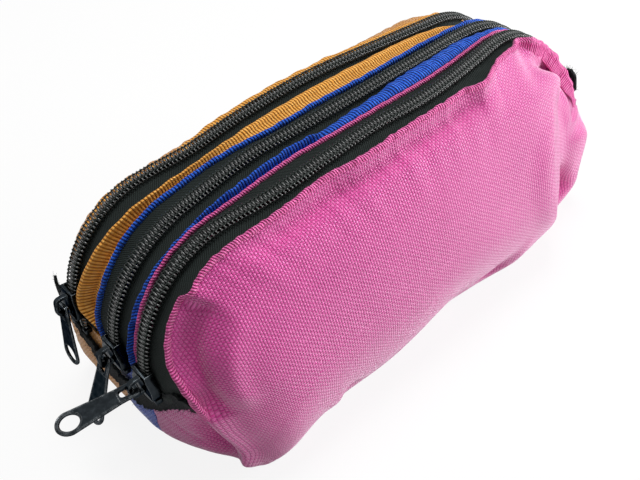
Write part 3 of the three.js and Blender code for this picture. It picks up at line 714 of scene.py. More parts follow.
class CASE_OT_stage(bpy.types.Operator):
    """Add the floor, the light and the camera"""

    bl_idname = "pencil_case.stage"
    bl_label = "Stage"

    def execute(self, context):
        scene, settings = context.scene, context.scene.case_stage
        scene.view_settings.view_transform = "Standard"
        camera = new_object("camera", bpy.data.cameras.new("camera"))
        right, up = (0.7356, -0.6732, -0.0758), (0.5038, 0.4689, 0.7255)
        ahead = (0.4528, 0.5718, -0.6841)
        turn = Matrix((right, up, tuple(-a for a in ahead))).transposed()
        camera.matrix_world = Matrix.Translation((-0.17636, -0.20332, 0.27712)) @ turn.to_4x4()
        camera.data.sensor_width = 36.0
        camera.data.lens = settings.lens
        camera.data.clip_start = 0.01
        scene.camera = camera

        mesh = bpy.data.meshes.new("floor")
        reach, level = 3.0, -0.0002
        corners = [(x * reach, y * reach, level) for x, y in ((-1, -1), (1, -1), (1, 1), (-1, 1))]
        mesh.from_pydata(corners, [], [(0, 1, 2, 3)])
        mesh.materials.append(self.floor_material())
        new_object("floor", mesh)

        scene.world = bpy.data.worlds.new("studio")
        scene.world.use_nodes = True
        tree = Tree(scene.world.node_tree)
        seen, path = tree.seen()
        level = tree.add("ShaderNodeMapRange", tree.math("MAXIMUM", seen, path["Is Transmission Ray"]),
                         To_Min=settings.sky, To_Max=1.0)
        shade = tree.add("ShaderNodeBackground", Color=(1, 1, 1), Strength=level.outputs[0])
        tree.add("ShaderNodeOutputWorld", Surface=shade.outputs[0])

        lamp("key", (0.53, -0.32, 0.08), (0.06, 0.0, 0.05), 0.42, settings.key)
        lamp("top", (0.12, 0.1, 0.85), (0.0, 0.0, 0.04), 0.45, settings.fill)
        return {"FINISHED"}

    def floor_material(self):
        """White floor that stays white to the camera but keeps a soft shadow."""
        tree = Shader("floor white")
        diffuse = tree.add("ShaderNodeBsdfDiffuse", Color=(0.9, 0.9, 0.9))
        glow = tree.add("ShaderNodeEmission", Strength=1.0)
        share = tree.times(tree.seen()[0], 0.88)
        mix = tree.add("ShaderNodeMixShader", share, diffuse.outputs[0], glow.outputs[0])
        tree.add("ShaderNodeOutputMaterial", Surface=mix.outputs[0])
        return tree.material


# Inner edge of the front hem at shares of the zip's length, as a depth
HEM_SHARES = ((0, -36.5), (0.032, -36), (0.055, -34.6), (0.078, -31), (0.1, -28), (0.123, -26.1),
              (0.146, -25.4), (0.163, -24.9), (0.174, -27.4), (0.191, -26.5), (0.26, -26.6),
              (0.305, -27.1), (0.35, -26.7), (0.395, -26), (0.44, -27.6), (0.465, -28), (0.51, -27.6),
              (0.6, -27.6), (0.652, -27.5), (0.674, -29), (0.69, -28), (0.717, -24.6), (0.742, -22.4),
              (0.778, -20.8), (0.8, -17.6), (0.818, -20.6), (0.841, -21.6), (0.88, -21.2), (0.9, -22.6),
              (0.922, -23.2), (0.94, -25.6), (0.97, -28.2), (1, -30.2))


def hem_line(s):
    arch = ARCHES["front"]
    return table(arch.share(s), HEM_SHARES)


def far_flap(share):
    """Where the hem stands up as a flap at the far end, from 0 to 1."""
    return window(share, 0.765, 0.8, 0.95, 0.985)


def front_seam(s, arch, seam):
    """Depth of the front seam: below the far end of the hem it runs outwards to the seam."""
    out = ease(s - arch.zip_end, -1, 12)
    return np.where(s > arch.zip_end - 3, HEM_SHARES[-1][1] * (1 - out) - seam * out, -seam)


def near_tuck(x, z):
    """How far the seam is drawn in round the lower near corner, from 0 to 1."""
    return (x < 0) * bell(z, 20, 14) * (1 - ease(x, -94, -72))


def seam_depth(z, arch):
    """Depth of the outer seam of a compartment at heights."""
    top = TOP_DEPTH[arch.name]
    return BASE_DEPTH + (top - BASE_DEPTH) * np.clip(z / arch.height, 0, 1) ** 1.6


def panel_surface(arch, stations, shares, side, rim_y, rim_n):
    """A bulging panel as a grid: stations run round its rim and shares run in to its crest."""
    s, share = stations[:, None], shares[None, :]
    edge = arch.point(s, 0.0, 0.0)
    crest = edge[..., 0] * 0.55
    x = crest + (edge[..., 0] - crest) * share
    z = PANEL_CENTRE + (edge[..., 2] - PANEL_CENTRE) * share
    depth = seam_depth(z, arch) + 1.6 + BULGE[arch.name] * (1 - share**2.5) ** 0.8
    points = np.stack([x, side * depth, z], -1)
    inward = (1 - share) * np.hypot(edge[..., 0] - crest, edge[..., 2] - PANEL_CENTRE)
    blend = 1 - ease(inward, 0, 15 if side < 0 else 9)
    rim = arch.point(s, rim_y[:, None], rim_n[:, None])
    return points + (rim - points[:, :1]) * blend[..., None], inward


def panel_coords(points):
    """Cloth coordinates carried outwards from the panel's crest along each spoke."""
    normal = grid_normals(points, wrap_rows=True)
    normal = normal * np.sign(np.sum(normal[..., 1] * points[..., 1]))
    axis = np.zeros_like(points)
    axis[..., 0] = 1.0
    u_axis = axis - normal * np.sum(axis * normal, -1, keepdims=True)
    u_axis /= np.maximum(np.linalg.norm(u_axis, axis=-1, keepdims=True), 0.2)
    v_axis = np.cross(normal, u_axis)
    v_axis = v_axis * np.sign(np.mean(v_axis[..., 2]))
    step = points[:, :-1] - points[:, 1:]
    du = np.sum(step * (u_axis[:, :-1] + u_axis[:, 1:]) / 2, -1)
    dv = np.sum(step * (v_axis[:, :-1] + v_axis[:, 1:]) / 2, -1)
    u = points[:, -1:, 0] + np.cumsum(du[:, ::-1], 1)[:, ::-1]
    v = points[:, -1:, 2] + np.cumsum(dv[:, ::-1], 1)[:, ::-1]
    u = np.concatenate([u, points[:, -1:, 0]], 1)
    v = np.concatenate([v, points[:, -1:, 2]], 1)
    coords = np.stack([u, v], -1)
    return np.concatenate([coords, coords[:1]], 0)


def front_folds(points, inward, s, arch):
    """How far the front cloth stands out of, or sinks into, its smooth shape."""
    x, z = points[..., 0], points[..., 2]
    share = arch.share(s)[:, None]
    along = s[:, None]
    top = window(share, 0.1, 0.2, 0.68, 0.76)
    total = 0.14 * ripple(along, 7.0, 3.0) * bell(inward, 4.0, 5.0) * top
    total += 0.18 * ripple(along, 19.0, 8.0) * bell(inward, 10, 9.0) * top
    total += 0.35 * ripple(x + 0.45 * z, 80.0, 5.0) * ease(inward, 5, 30)
    total -= 3.6 * bell(inward, 3.8, 3.4) * ease(share, 0.2, 0.36) * (1 - ease(share, 0.62, 0.74))
    pocket = window(share, -0.01, 0.04, 0.1, 0.2)
    total += (-3.8 * bell(inward, 5.0, 2.6) + 1.2 * bell(inward, 13, 5.0)) * pocket
    flap = window(share, 0.79, 0.85, 0.93, 1.0)
    lip = -3.6 * bell(inward, 3.4, 2.8) + 1.4 * bell(inward, 8.0, 2.6) - 0.8 * bell(inward, 16.0, 6.0)
    return total + lip * flap


def far_facet(points, inward):
    """The far end of the front cloth: flat behind one sharp crease, with a hollow at its foot."""
    x, z = points[..., 0], points[..., 2]
    ridge = table(z, ((0, 74), (12, 71), (35, 64), (67, 70), (80, 78), (95, 84)))
    past = x - ridge
    plane = np.clip(past / 20, 0, 1) * (1 - ease(x, 88, 104))
    plane = plane * ease(z, -2, 14) * (1 - ease(z, 60, 78))
    lead = -1.3 * bell(past, -4, 6.0) * ease(z, 8, 24) * (1 - ease(z, 50, 70))
    hollow = 6.5 * bell(x + 0.35 * (z - 20), 88, 7.0) * bell(z, 17, 9)
    foot = 2.8 * bell(x - 0.6 * z, 33, 5.0) * bell(z, 5, 9)
    foot = foot - 1.6 * bell(x - 0.6 * z, 43, 5.0) * bell(z, 7, 9)
    near = 2.2 * bell(x + 0.4 * z, -40, 5.0) * bell(z, 4, 10)
    near = near - 1.3 * bell(x + 0.4 * z, -48, 5.0) * bell(z, 6, 10)
    low = 1.6 * ease(x, -90, 0) * (1 - ease(x, 60, 100)) * (1 - ease(z, 6, 34))
    return 10.0 * plane + (low + lead + hollow + foot + near) * ease(inward, 1, 9)


def overhang(s, arch, inward):
    """How far the panel's edge hangs over the gusset, round both lower ends."""
    z = np.interp(s % arch.length, arch.s, arch.z)[:, None]
    x = np.interp(s % arch.length, arch.s, arch.x)[:, None]
    near = (x < 0) * ease(z, 1, 8) * (1 - ease(z, 36, 56))
    far = (x > 0) * ease(z, 1, 8) * (1 - ease(z, 30, 50))
    return 3.6 * near * bell(inward, 2.6, 2.6) + 1.8 * far * bell(inward, 4.0, 3.6)


def back_roll(s):
    """How far the back cloth beside the zip rolls down, near the sliders."""
    share = ARCHES["back"].share(s)
    return 4.0 * ease(share, -0.02, 0.06) * (1 - ease(share, 0.26, 0.4))


class CASE_OT_panels(bpy.types.Operator):
    """Add the bulging front and back panels"""

    bl_idname = "pencil_case.panels"
    bl_label = "Panels"

    def execute(self, context):
        cloth = context.scene.case_sizes.cloth / MM
        shares = 1 - np.linspace(0, 1, 56) ** 1.5
        arch = ARCHES["front"]
        stations = np.linspace(0, arch.length, 461)[:-1]
        points, inward = self.base(arch, stations, shares, -1)
        coords = panel_coords(points)
        points = self.raised(points, front_folds(points, inward, stations, arch), inward, -1)
        points[..., 1] += far_facet(points, inward)
        edge = arch.point(stations, 0.0, 0.0)
        outward = arch.point(stations, 0.0, 1.0) - edge
        points = slump(points + outward[:, None] * overhang(stations, arch, inward)[..., None])
        tuck = near_tuck(edge[:, 0], edge[:, 2])[:, None] * (1 - ease(inward, 0, 4))
        self.make("front", points + tuck[..., None] * TUCK, coords, cloth, -1)

        arch = ARCHES["back"]
        stations = np.linspace(0, arch.length, 401)[:-1]
        points, inward = self.base(arch, stations, shares, 1)
        coords = panel_coords(points)
        x, z = points[..., 0], points[..., 2]
        height = 0.7 * ripple(x - 0.5 * z, 66.0, 21.0) * ease(inward, 5, 30)
        height += 0.35 * ripple(stations[:, None], 8.5, 4.0) * bell(inward, 5, 6)
        height -= 2.0 * bell(x + 0.5 * z, 118, 9.0) * bell(z, 30, 26)
        height -= 1.8 * bell(x - 0.45 * z, -98, 8.0) * bell(z, 34, 24)
        height -= 1.3 * bell(x + 0.25 * z, 28, 13.0) * bell(z, 66, 16)
        height += 0.9 * ripple(x, 24.0, 9.0) * bell(z, 8, 9) * ease(inward, 0, 6)
        self.make("back", self.raised(points, height, inward, 1), coords, cloth, 1)
        return {"FINISHED"}

    @staticmethod
    def raised(points, height, inward, side):
        """Points moved out of the surface, straight out along Y well inside the rim."""
        normal = grid_normals(points, wrap_rows=True)
        normal = normal * side * np.sign(np.mean(normal[..., 1]))
        mix = ease(inward, 16, 34)[..., None]
        move = normal * (1 - mix) + np.array((0.0, side, 0.0)) * mix
        return points + move * height[..., None]

    @staticmethod
    def base(arch, stations, shares, side):
        """The smooth panel, whose rim follows the zip over the arch and the seam below it."""
        seam = seam_depth(arch.point(stations, 0.0, 0.0)[:, 2], arch)
        on_arch = (stations >= arch.zip_start) & (stations <= arch.zip_end)
        share, rise = arch.share(stations), arch.rise(stations)
        if side < 0:
            flap = far_flap(share)
            rim_y = np.where(on_arch, hem_line(stations) - 1.1 - 0.6 * flap,
                             front_seam(stations, arch, seam) - 0.4)
            rim_n = np.where(on_arch, rise - 0.3 - 0.9 * flap, -0.2)
        else:
            roll = back_roll(stations)
            rim_y = np.where(on_arch, arch.zip_y + arch.sway(stations) + 6.6 - 0.2 * roll, seam + 0.4)
            rim_n = np.where(on_arch, rise + 0.2 - roll, -0.2)
        keep = ease(share, 0.0, 0.03) * (1 - ease(share, 0.97, 1.0) * (side > 0))
        rim_y = np.where(on_arch, side * seam * (1 - keep) + rim_y * keep, rim_y)
        return panel_surface(arch, stations, shares, side, rim_y, rim_n)

    @staticmethod
    def make(name, points, coords, cloth, side):
        points[..., 2] = np.maximum(points[..., 2], PANEL_FOOT)
        obj = sheet(points, coords, cloth, np.array((0, side, 0)), crest=True).build(name + "_panel_cloth")
        dress(obj, COLOURS[name], "cloth", name + "_panel")


class CASE_OT_gussets(bpy.types.Operator):
    """Add the gussets round the base and ends"""

    bl_idname = "pencil_case.gussets"
    bl_label = "Gussets"

    def execute(self, context):
        cloth = context.scene.case_sizes.cloth / MM
        for seed, name in enumerate(NAMES, 1):
            arch, (low, high) = ARCHES[name], GUSSET_EDGES[name]
            s = np.linspace(arch.zip_end - 2.0, arch.length + arch.zip_start + 2.0, 300)
            edge = arch.point(s, 0.0, 0.0)
            seam = seam_depth(edge[:, 2], arch) + 0.2
            y0 = front_seam(s, arch, seam) if low is None else np.full_like(s, low)
            y1 = seam if high is None else np.full_like(s, high)
            t = np.linspace(0, 1, 26 if low is None or high is None else 14)
            y = y0[:, None] + (y1 - y0)[:, None] * t[None, :]
            z = np.broadcast_to(edge[:, 2:3], y.shape)
            puff = (np.sin(math.pi * t)[None, :] ** 0.6 - 0.35) * ease(z, 2, 16)
            n = 0.9 * puff + 0.5 * puff * ripple(z + 0.6 * y, 17.0, seed)
            n = n + 0.35 * puff * ripple(z - y, 9.0, seed + 4)
            past = y - y0[:, None] if low is None else np.full_like(y, 99)
            tuck = near_tuck(edge[:, 0], edge[:, 2])[:, None]
            n = n - 2.6 * tuck * bell(past, 6, 5)
            coords = np.stack([np.broadcast_to(s[:, None], y.shape), y], -1)
            outer = slump(arch.point(s[:, None], y, n)) + (tuck * (1 - ease(past, 0, 15)))[..., None] * TUCK
            outer[..., 2] = np.maximum(outer[..., 2], 0.0)
            away = outer - outer.mean((0, 1)) - np.array([0, 0, 20.0])
            away[..., 1] = 0
            obj = sheet(outer, coords, cloth, away).build(name + "_gusset_cloth")
            dress(obj, COLOURS[name], "cloth", name + "_gusset")
        return {"FINISHED"}


def dress(obj, colour, kind, *nodes):
    """Finishes a piece of coloured cloth, flat or as a fold."""
    finish(obj, "case", colour + "_fabric", *nodes, material=finishes()[f"{colour} {kind}"])


def fold_rings(arch, s, y0, y1, base, height, tuck=1.4, hollow=0.0):
    """Rings of a fold of cloth between two depths: a rounded ridge whose sides tuck in below.

    A hollow of 1 leaves the ridge only on the y1 side, and the cloth sags towards y0.
    """
    angles = np.linspace(0, math.pi, 19)
    mid, half = (y0 + y1) / 2, (y1 - y0) / 2
    y = mid[:, None] - np.cos(angles)[None, :] * half[:, None]
    place = (1 - np.cos(angles)) / 2
    sag = (hollow * ease(2 * half, 1.8, 3.2))[:, None] if np.ndim(hollow) else hollow
    full = np.sin(angles)[None, :] ** 0.75 * height[:, None]
    crest = np.sin(math.pi * np.clip((place - 0.5) / 0.5, 0, 1)) ** 0.6
    pit = np.sin(math.pi * np.clip(place / 0.62, 0, 1)) ** 0.8
    n = base[:, None] + full * (1 - sag) + (crest[None, :] * height[:, None] - 3.4 * pit[None, :]) * sag
    low = base - tuck * np.ones_like(s)
    y = np.concatenate([y, np.stack([mid + 0.8 * half, mid - 0.8 * half], 1)], 1)
    n = np.concatenate([n, np.stack([low, low], 1)], 1)
    return arch.point(s[:, None], y, n)


# Edges of the folds between the zips, as depths at shares of the zip's length
PINK_FOLD_SHARES = ((0, -13.6), (0.05, -14.3), (0.1, -14), (0.16, -13.3), (0.3, -13.4), (0.36, -12.6),
                    (0.4, -12.4), (0.46, -13.5), (0.54, -14), (0.64, -14.3), (0.7, -12.9),
                    (0.75, -11.3), (0.8, -10.2), (0.86, -9), (0.92, -8.6), (1, -10))
PINK_WIDTH_SHARES = ((0, 1.2), (0.1, 1.3), (0.3, 1.4), (0.5, 1.5), (0.7, 1.5), (0.85, 1.4), (1, 1.2))
BLUE_EDGE_SHARES = ((0, -9.2), (0.08, -9.6), (0.14, -9.9), (0.23, -9.9), (0.27, -8.1), (0.32, -6.9),
                    (0.4, -5.9), (0.43, -6.5), (0.45, -7.8), (0.5, -7.6), (0.55, -7.2), (0.6, -5.7),
                    (0.68, -4.9), (0.74, -3.9), (0.78, -4.9), (0.84, -4.6), (0.9, -5.6), (1, -8))
BLUE_THIN_SHARES = ((0, 6.9), (0.05, 9), (0.1, 7.3), (0.18, 7), (0.26, 7.3), (0.32, 8.4), (0.37, 7.6),
                    (0.42, 5.8), (0.5, 5), (0.56, 3.8), (0.7, 4.1), (0.78, 4.4), (0.9, 5.6), (1, 6.6))
ORANGE_EDGE_SHARES = ((0, 17), (0.04, 19.6), (0.08, 19.8), (0.125, 17.2), (0.17, 15.6), (0.21, 14.6),
                      (0.26, 14.6), (0.31, 15.4), (0.42, 16.4), (0.6, 16), (0.74, 15.6), (0.77, 14.2),
                      (0.8, 11.6), (0.84, 9.6), (1, 9.4))


class CASE_OT_walls(bpy.types.Operator):
    """Add the inner walls with their folded top edges, and the hems"""

    bl_idname = "pencil_case.walls"
    bl_label = "Walls and folds"

    def execute(self, context):
        sizes = context.scene.case_sizes
        cloth = sizes.cloth / MM
        front, middle, back = (ARCHES[name] for name in NAMES)

        s, share = self.run(front)
        y0 = table(share, PINK_FOLD_SHARES) + 0.12 * ripple(s, 6.0, 2.0) + 0.3
        base = front.rise(s) * ease(share, -0.02, 0.03) * (1 - ease(share, 0.97, 1.0)) + 0.1
        self.wall("front_rear_wall", front, s, y0, y0 + table(share, PINK_WIDTH_SHARES), base,
                  1.2 + 0.15 * ripple(s, 9.0, 5.0), cloth)

        s, share = self.run(middle)
        y0 = table(share, PINK_FOLD_SHARES) + table(share, PINK_WIDTH_SHARES) + 0.4
        y1 = np.maximum(table(share, BLUE_EDGE_SHARES) + 0.25 * ripple(s, 8.0, 7.0), y0 + 0.9)
        wide = np.clip((y1 - y0) / 6, 0.25, 1)
        self.wall("middle_front_wall", middle, s, y0, y1, 0.6 + middle.rise(s),
                  0.7 + 1.5 * wide + 0.35 * ripple(s, 10.0, 12.0) * wide, cloth, 1 - ease(share, 0.42, 0.46))
        y0 = table(share, BLUE_THIN_SHARES) + 0.1 * ripple(s, 7.0, 15.0)
        self.wall("middle_rear_wall", middle, s, y0, y0 + 1.7, 0.4 + middle.rise(s),
                  1.2 + 0.2 * ripple(s, 11.0, 18.0), cloth)

        s, share = self.run(back)
        y0 = table(middle.share(s), BLUE_THIN_SHARES) + 1.6
        y1 = table(share, ORANGE_EDGE_SHARES) + 0.2 * ripple(s, 13.0, 21.0)
        y1 = y1 - (y1 - y0 - 1.2) * (1 - ease(share, 0.025, 0.07))
        height = 0.6 + 3.4 * np.clip((y1 - y0) / 8, 0.1, 1)
        self.wall("back_front_wall", back, s, y0, np.maximum(y1, y0 + 1), back.rise(s) - 0.2, height, cloth,
                  0.25 + 0.75 * (1 - ease(share, 0.2, 0.4)))
        self.hems(front, back, sizes)
        return {"FINISHED"}

    @staticmethod
    def run(arch):
        s = np.linspace(arch.zip_start - 6, arch.zip_end + 4, 380)
        return s, arch.share(s)

    @staticmethod
    def wall(node, arch, s, y0, y1, base, height, cloth, hollow=0.0):
        """A wall across the case, with a fold of its cloth along the zip."""
        depth = np.array(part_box(node)[0])[1] / MM
        surface = tube(fold_rings(arch, s, y0, y1, base, height, hollow=hollow))
        rim = np.linspace(0, arch.length, 241)[:-1]
        count = len(rim)
        for y, order in ((depth, 1), (depth + cloth, -1)):
            outline = arch.point(rim, y, -4.8)
            first = surface.add_points(outline)
            surface.cap(list(range(first, first + count))[::order], outline[:, [0, 2]].tolist()[::order])
        a = surface.count - 2 * count
        for i, u in enumerate(rim):
            j = (i + 1) % count
            surface.faces.append([a + i, a + count + i, a + count + j, a + j])
            surface.corners.append([[u, 0], [u, cloth], [u + 1, cloth], [u + 1, 0]])
        surface.close()
        dress(surface.build(node + "_cloth"), COLOURS[arch.name], "fold", node)

    @staticmethod
    def hems(front, back, sizes):
        s = np.linspace(front.zip_start + 1, front.zip_end + 4, 420)
        share = front.share(s)
        y1 = hem_line(s) + 0.18 * ripple(s, 5.0, 31.0)
        far = far_flap(share)
        width = sizes.hem / MM * (1 + 0.12 * ripple(s, 12.0, 33.0)) * (1 - 0.45 * ease(share, 0.8, 0.86))
        width = width + 3.4 * bell(share, 0.015, 0.045) + 0.9 * far
        lift = sizes.hem_height / MM * (1 + 0.2 * ripple(s, 8.0, 35.0))
        lift = lift + far * (0.9 + 0.5 * ripple(s, 16.0, 36.0))
        rings = fold_rings(front, s, y1 - width, y1, front.rise(s) + 0.05, lift, 0.8 + 3 * far, 0.4 * far)
        dress(tube(slump_edge(rings)).build("front_hem"), "pink", "fold")

        s = np.linspace(back.zip_start + 1, back.zip_end - 1, 380)
        y0 = back.zip_y + back.sway(s) + 3.4 + 0.3 * ripple(s, 21.0, 41.0) + 0.3 * back_roll(s)
        rings = fold_rings(back, s, y0, y0 + 3.2 + 0.3 * ripple(s, 12.0, 43.0),
                           back.rise(s) + 0.05 - 0.8 * back_roll(s), 0.9 + 0.2 * ripple(s, 9.0, 45.0), 0.8)
        dress(tube(rings).build("back_hem"), "orange", "fold")


class Growth(Tree):
    """A Geometry Nodes tree that makes thin round strands from the line that it is given."""

    def __init__(self, name, **values):
        super().__init__(bpy.data.node_groups.new(name, "GeometryNodeTree"))
        sockets = self.tree.interface
        for way in ("INPUT", "OUTPUT"):
            sockets.new_socket("Geometry", in_out=way, socket_type="NodeSocketGeometry")
        for key, value in values.items():
            kind = "NodeSocketInt" if isinstance(value, int) else "NodeSocketFloat"
            sockets.new_socket(key, in_out="INPUT", socket_type=kind).default_value = value
        self.given = self.add("NodeGroupInput").outputs
        self.line = self.add("GeometryNodeMeshToCurve", self.given["Geometry"]).outputs[0]

    def end(self, curve, radius, sides, material, soft=False, **scale):
        """The tree, whose curves become strands of one material."""
        ring = self.add("GeometryNodeCurvePrimitiveCircle", Resolution=sides, Radius=radius)
        mesh = self.add("GeometryNodeCurveToMesh", Curve=curve, Profile_Curve=ring.outputs[0], Fill_Caps=True,
                        **scale).outputs[0]
        if soft:
            mesh = self.add("GeometryNodeSetShadeSmooth", Geometry=mesh).outputs[0]
        mesh = self.add("GeometryNodeRealizeInstances", mesh).outputs[0]
        painted = self.add("GeometryNodeSetMaterial", Geometry=mesh, Material=material)
        self.add("NodeGroupOutput", Geometry=painted.outputs[0])
        return self.tree


def winding_tree(material, sides=6):
    """Node tree that winds a flattened coil round the rail it is given."""
    t = Growth("Coil winding", Pitch=0.0015, Across=0.0017, Height=0.0007, Slant=0.0005, Filament=0.00038,
               Steps=10.0, Side=1.0, Head=0.25)
    given = t.given
    length = t.add("GeometryNodeCurveLength", t.line).outputs[0]
    turns = t.math("FLOOR", t.math("DIVIDE", length, given["Pitch"]))
    points = t.add("GeometryNodeMeshLine", Count=t.times(turns, given["Steps"])).outputs[0]
    turn = t.math("DIVIDE", t.add("GeometryNodeInputIndex").outputs[0], given["Steps"])
    angle = t.times(turn, 2 * math.pi)
    cosine, sine = t.math("COSINE", angle), t.math("SINE", angle)
    along = t.plus(t.times(turn, given["Pitch"]), t.times(cosine, given["Slant"]))
    sample = t.add("GeometryNodeSampleCurve", mode="LENGTH", Curves=t.line, Length=along).outputs
    depth = (0.0, 1.0, 0.0)
    outward = t.vector("CROSS_PRODUCT", sample["Tangent"], depth)

    def squared(wave):
        """Turns the round course of a winding into a flatter one."""
        return t.minus(t.times(wave, 1.5), t.times(t.times(t.times(wave, wave), wave), 0.5))

    across = t.times(t.times(squared(cosine), given["Across"]), given["Side"])
    up = t.times(squared(sine), given["Height"])
    moved = t.vector("ADD", sample["Position"], t.vector("SCALE", depth, Scale=across))
    moved = t.vector("ADD", moved, t.vector("SCALE", outward, Scale=up))
    placed = t.add("GeometryNodeSetPosition", Geometry=points, Position=moved).outputs[0]
    curve = t.add("GeometryNodeMeshToCurve", placed).outputs[0]
    back = t.math("POWER", t.math("MAXIMUM", t.times(cosine, -1.0), 0.0), 3.0)
    swell = t.plus(t.times(back, given["Head"]), 1.0)
    curve = t.add("GeometryNodeSetCurveRadius", Curve=curve, Radius=swell).outputs[0]
    return t.end(curve, given["Filament"], sides, material, soft=True,
                 Scale=t.add("GeometryNodeInputRadius").outputs[0])


def grow(name, line, tree, **values):
    """What a node tree makes of a line through points, as a plain object."""
    mesh = bpy.data.meshes.new("rail")
    mesh.from_pydata((line * MM).tolist(), [(i, i + 1) for i in range(len(line) - 1)], [])
    carrier = new_object(name + "_carrier", mesh)
    modifier = carrier.modifiers.new("Grow", "NODES")
    modifier.node_group = tree
    for item in tree.interface.items_tree:
        if item.item_type == "SOCKET" and item.in_out == "INPUT" and item.name in values:
            modifier[item.identifier] = values[item.name]
    return baked(carrier, name)


class CASE_OT_zips(bpy.types.Operator):
    """Add the zip tapes, coil rows and their threads"""

    bl_idname = "pencil_case.zips"
    bl_label = "Zips"

    def execute(self, context):
        thickness, settings = context.scene.case_sizes.tape / MM, context.scene.case_zip
        trees = winding_tree(finishes()["coil nylon"]), winding_tree(finishes()["coil thread"], 5)
        for name in NAMES:
            outer_side = 1 if name == "back" else -1
            for label, side in (("outer", outer_side), ("inner", -outer_side)):
                self.tape(name, label, side, thickness)
                self.coil(name, label, side, settings, *trees)
        return {"FINISHED"}

    @staticmethod
    def tape(name, label, side, thickness):
        """A woven tape from beside the coil to the edge of the cloth."""
        arch = ARCHES[name]
        s = np.linspace(arch.zip_start, arch.zip_end, 300)
        line, share = arch.zip_y + arch.sway(s), arch.share(s)
        edges = {
            ("front", -1): hem_line(s) - 0.8 + 1.0 * ease(share, 0.93, 0.98),
            ("front", 1): table(share, PINK_FOLD_SHARES) + 1.0,
            ("middle", -1): table(share, BLUE_EDGE_SHARES) - 0.9,
            ("middle", 1): table(share, BLUE_THIN_SHARES) + 0.9,
            ("back", -1): table(share, ORANGE_EDGE_SHARES) - 0.9,
            ("back", 1): line + 4.6,
        }
        reach = np.maximum(side * (edges[name, side] - line), 2.2)
        t = np.linspace(0, 1, 9)
        w = 1.0 + (reach - 1.0)[:, None] * t[None, :]
        wave = ripple(s, 14.0, 3.0 * side + arch.zip_y)
        dip = -0.25 * np.sin(math.pi * t)[None, :] * (1 + 0.5 * wave)[:, None]
        if name == "back" and side > 0:
            dip = dip - back_roll(s)[:, None] * t[None, :] ** 1.5
        outer = arch.point(s[:, None], line[:, None] + side * w, arch.rise(s)[:, None] + dip)
        outer = slump_edge(outer) if (name, side) == ("front", -1) else outer
        coords = np.stack([np.broadcast_to(s[:, None], w.shape), w], -1)
        obj = sheet(outer, coords, thickness, np.array((0, 0, 1.0))).build(f"{name}_tape_{label}")
        finish(obj, "case", "zip_tape", f"{name}_zip_tape_{label}", material=finishes()["zip tape"])

    @staticmethod
    def coil(name, label, side, settings, coil_tree, thread_tree):
        """A row of wound nylon and the thread that sews it down, parted past the slider."""
        arch, pitch = ARCHES[name], settings.pitch / MM
        s = np.linspace(arch.zip_start + 2.7 + (pitch / 2 if side > 0 else 0), arch.zip_end - 3.0, 700)
        swing = JOINTS[name + "_slider_travel"]["range_deg"][0]
        slider_at = arch.climb + arch.radius * math.radians(-swing)
        parting = PARTING * np.clip((PARTING_START - (s - slider_at)) / PARTING_RUN, 0, 1)
        line = arch.zip_y + arch.sway(s)
        rail, sewn = (arch.point(s, line + side * (beside + parting), above + arch.rise(s))
                      for beside, above in (COIL_LINE, THREAD_LINE))
        coil = grow(f"{name}_coil_{label}", rail, coil_tree, Pitch=settings.pitch, Across=0.00162,
                    Height=0.00071, Slant=settings.slant, Filament=settings.filament,
                    Steps=float(settings.steps),
                    Side=float(side), Head=0.2)
        finish(coil, "case", "coil_nylon", f"{name}_coil_row_{label}")
        thread = grow(f"{name}_thread_{label}", sewn, thread_tree, Pitch=settings.pitch, Across=0.00012,
                      Height=0.00012, Slant=0.0, Filament=0.00022, Steps=6.0, Side=1.0, Head=0.0)
        finish(thread, "case", "zip_tape")


def fibre_tree(material):
    """Node tree that grows loose fibres from the edge line that it is given."""
    t = Growth("Loose fibres", Spacing=0.0004, Length=0.002, Radius=0.00004, Lean=0.9, Seed=7)
    given = t.given
    spots = t.add("GeometryNodeCurveToPoints", mode="LENGTH", Curve=t.line, Length=given["Spacing"])
    hair = t.add("GeometryNodeCurvePrimitiveBezierSegment", Start=(0, 0, 0), Start_Handle=(0.1, 0.0, 0.4),
                 End_Handle=(-0.25, 0.1, 0.7), End=(0.15, 0.1, 1.0), Resolution=5)
    low, high = (t.add("ShaderNodeCombineXYZ", lean, lean, lean).outputs[0]
                 for lean in (t.times(given["Lean"], -1.0), given["Lean"]))
    turn = t.add("FunctionNodeRandomValue", low, high, data_type="FLOAT_VECTOR", Seed=given["Seed"])
    size = t.add("FunctionNodeRandomValue", None, None, 0.3, 1.0, data_type="FLOAT", Seed=given["Seed"])
    grown = t.add("GeometryNodeInstanceOnPoints", Points=spots.outputs["Points"], Instance=hair.outputs[0],
                  Rotation=turn.outputs[0], Scale=t.times(size.outputs[1], given["Length"]))
    real = t.add("GeometryNodeRealizeInstances", grown.outputs[0])
    return t.end(real.outputs[0], given["Radius"], 3, material)


# Middle height and width of each webbing band at places across the case, front to back
NEAR_BAND = ((-38.6, 44.6, 1.6), (-36, 45, 4.4), (-32, 44.0, 7.6), (-26, 40.6, 9.2), (-20, 35.6, 9.6),
             (-14, 31.2, 9), (-8, 29, 8.6), (4, 28.4, 8.6), (14, 29.2, 8.6), (22, 31.4, 8.6),
             (28, 35.8, 8.6), (33, 43, 10.6), (37.6, 49.6, 11.4))
FAR_BAND = ((-27.8, 57, 7), (-26, 57.4, 11.5), (-22, 55.4, 12.5), (-17, 50.5, 11), (-12, 46.5, 10.6),
            (-6, 43.4, 10.6), (10, 42.4, 10.6), (28, 42.4, 10.6), (38.6, 43, 10))


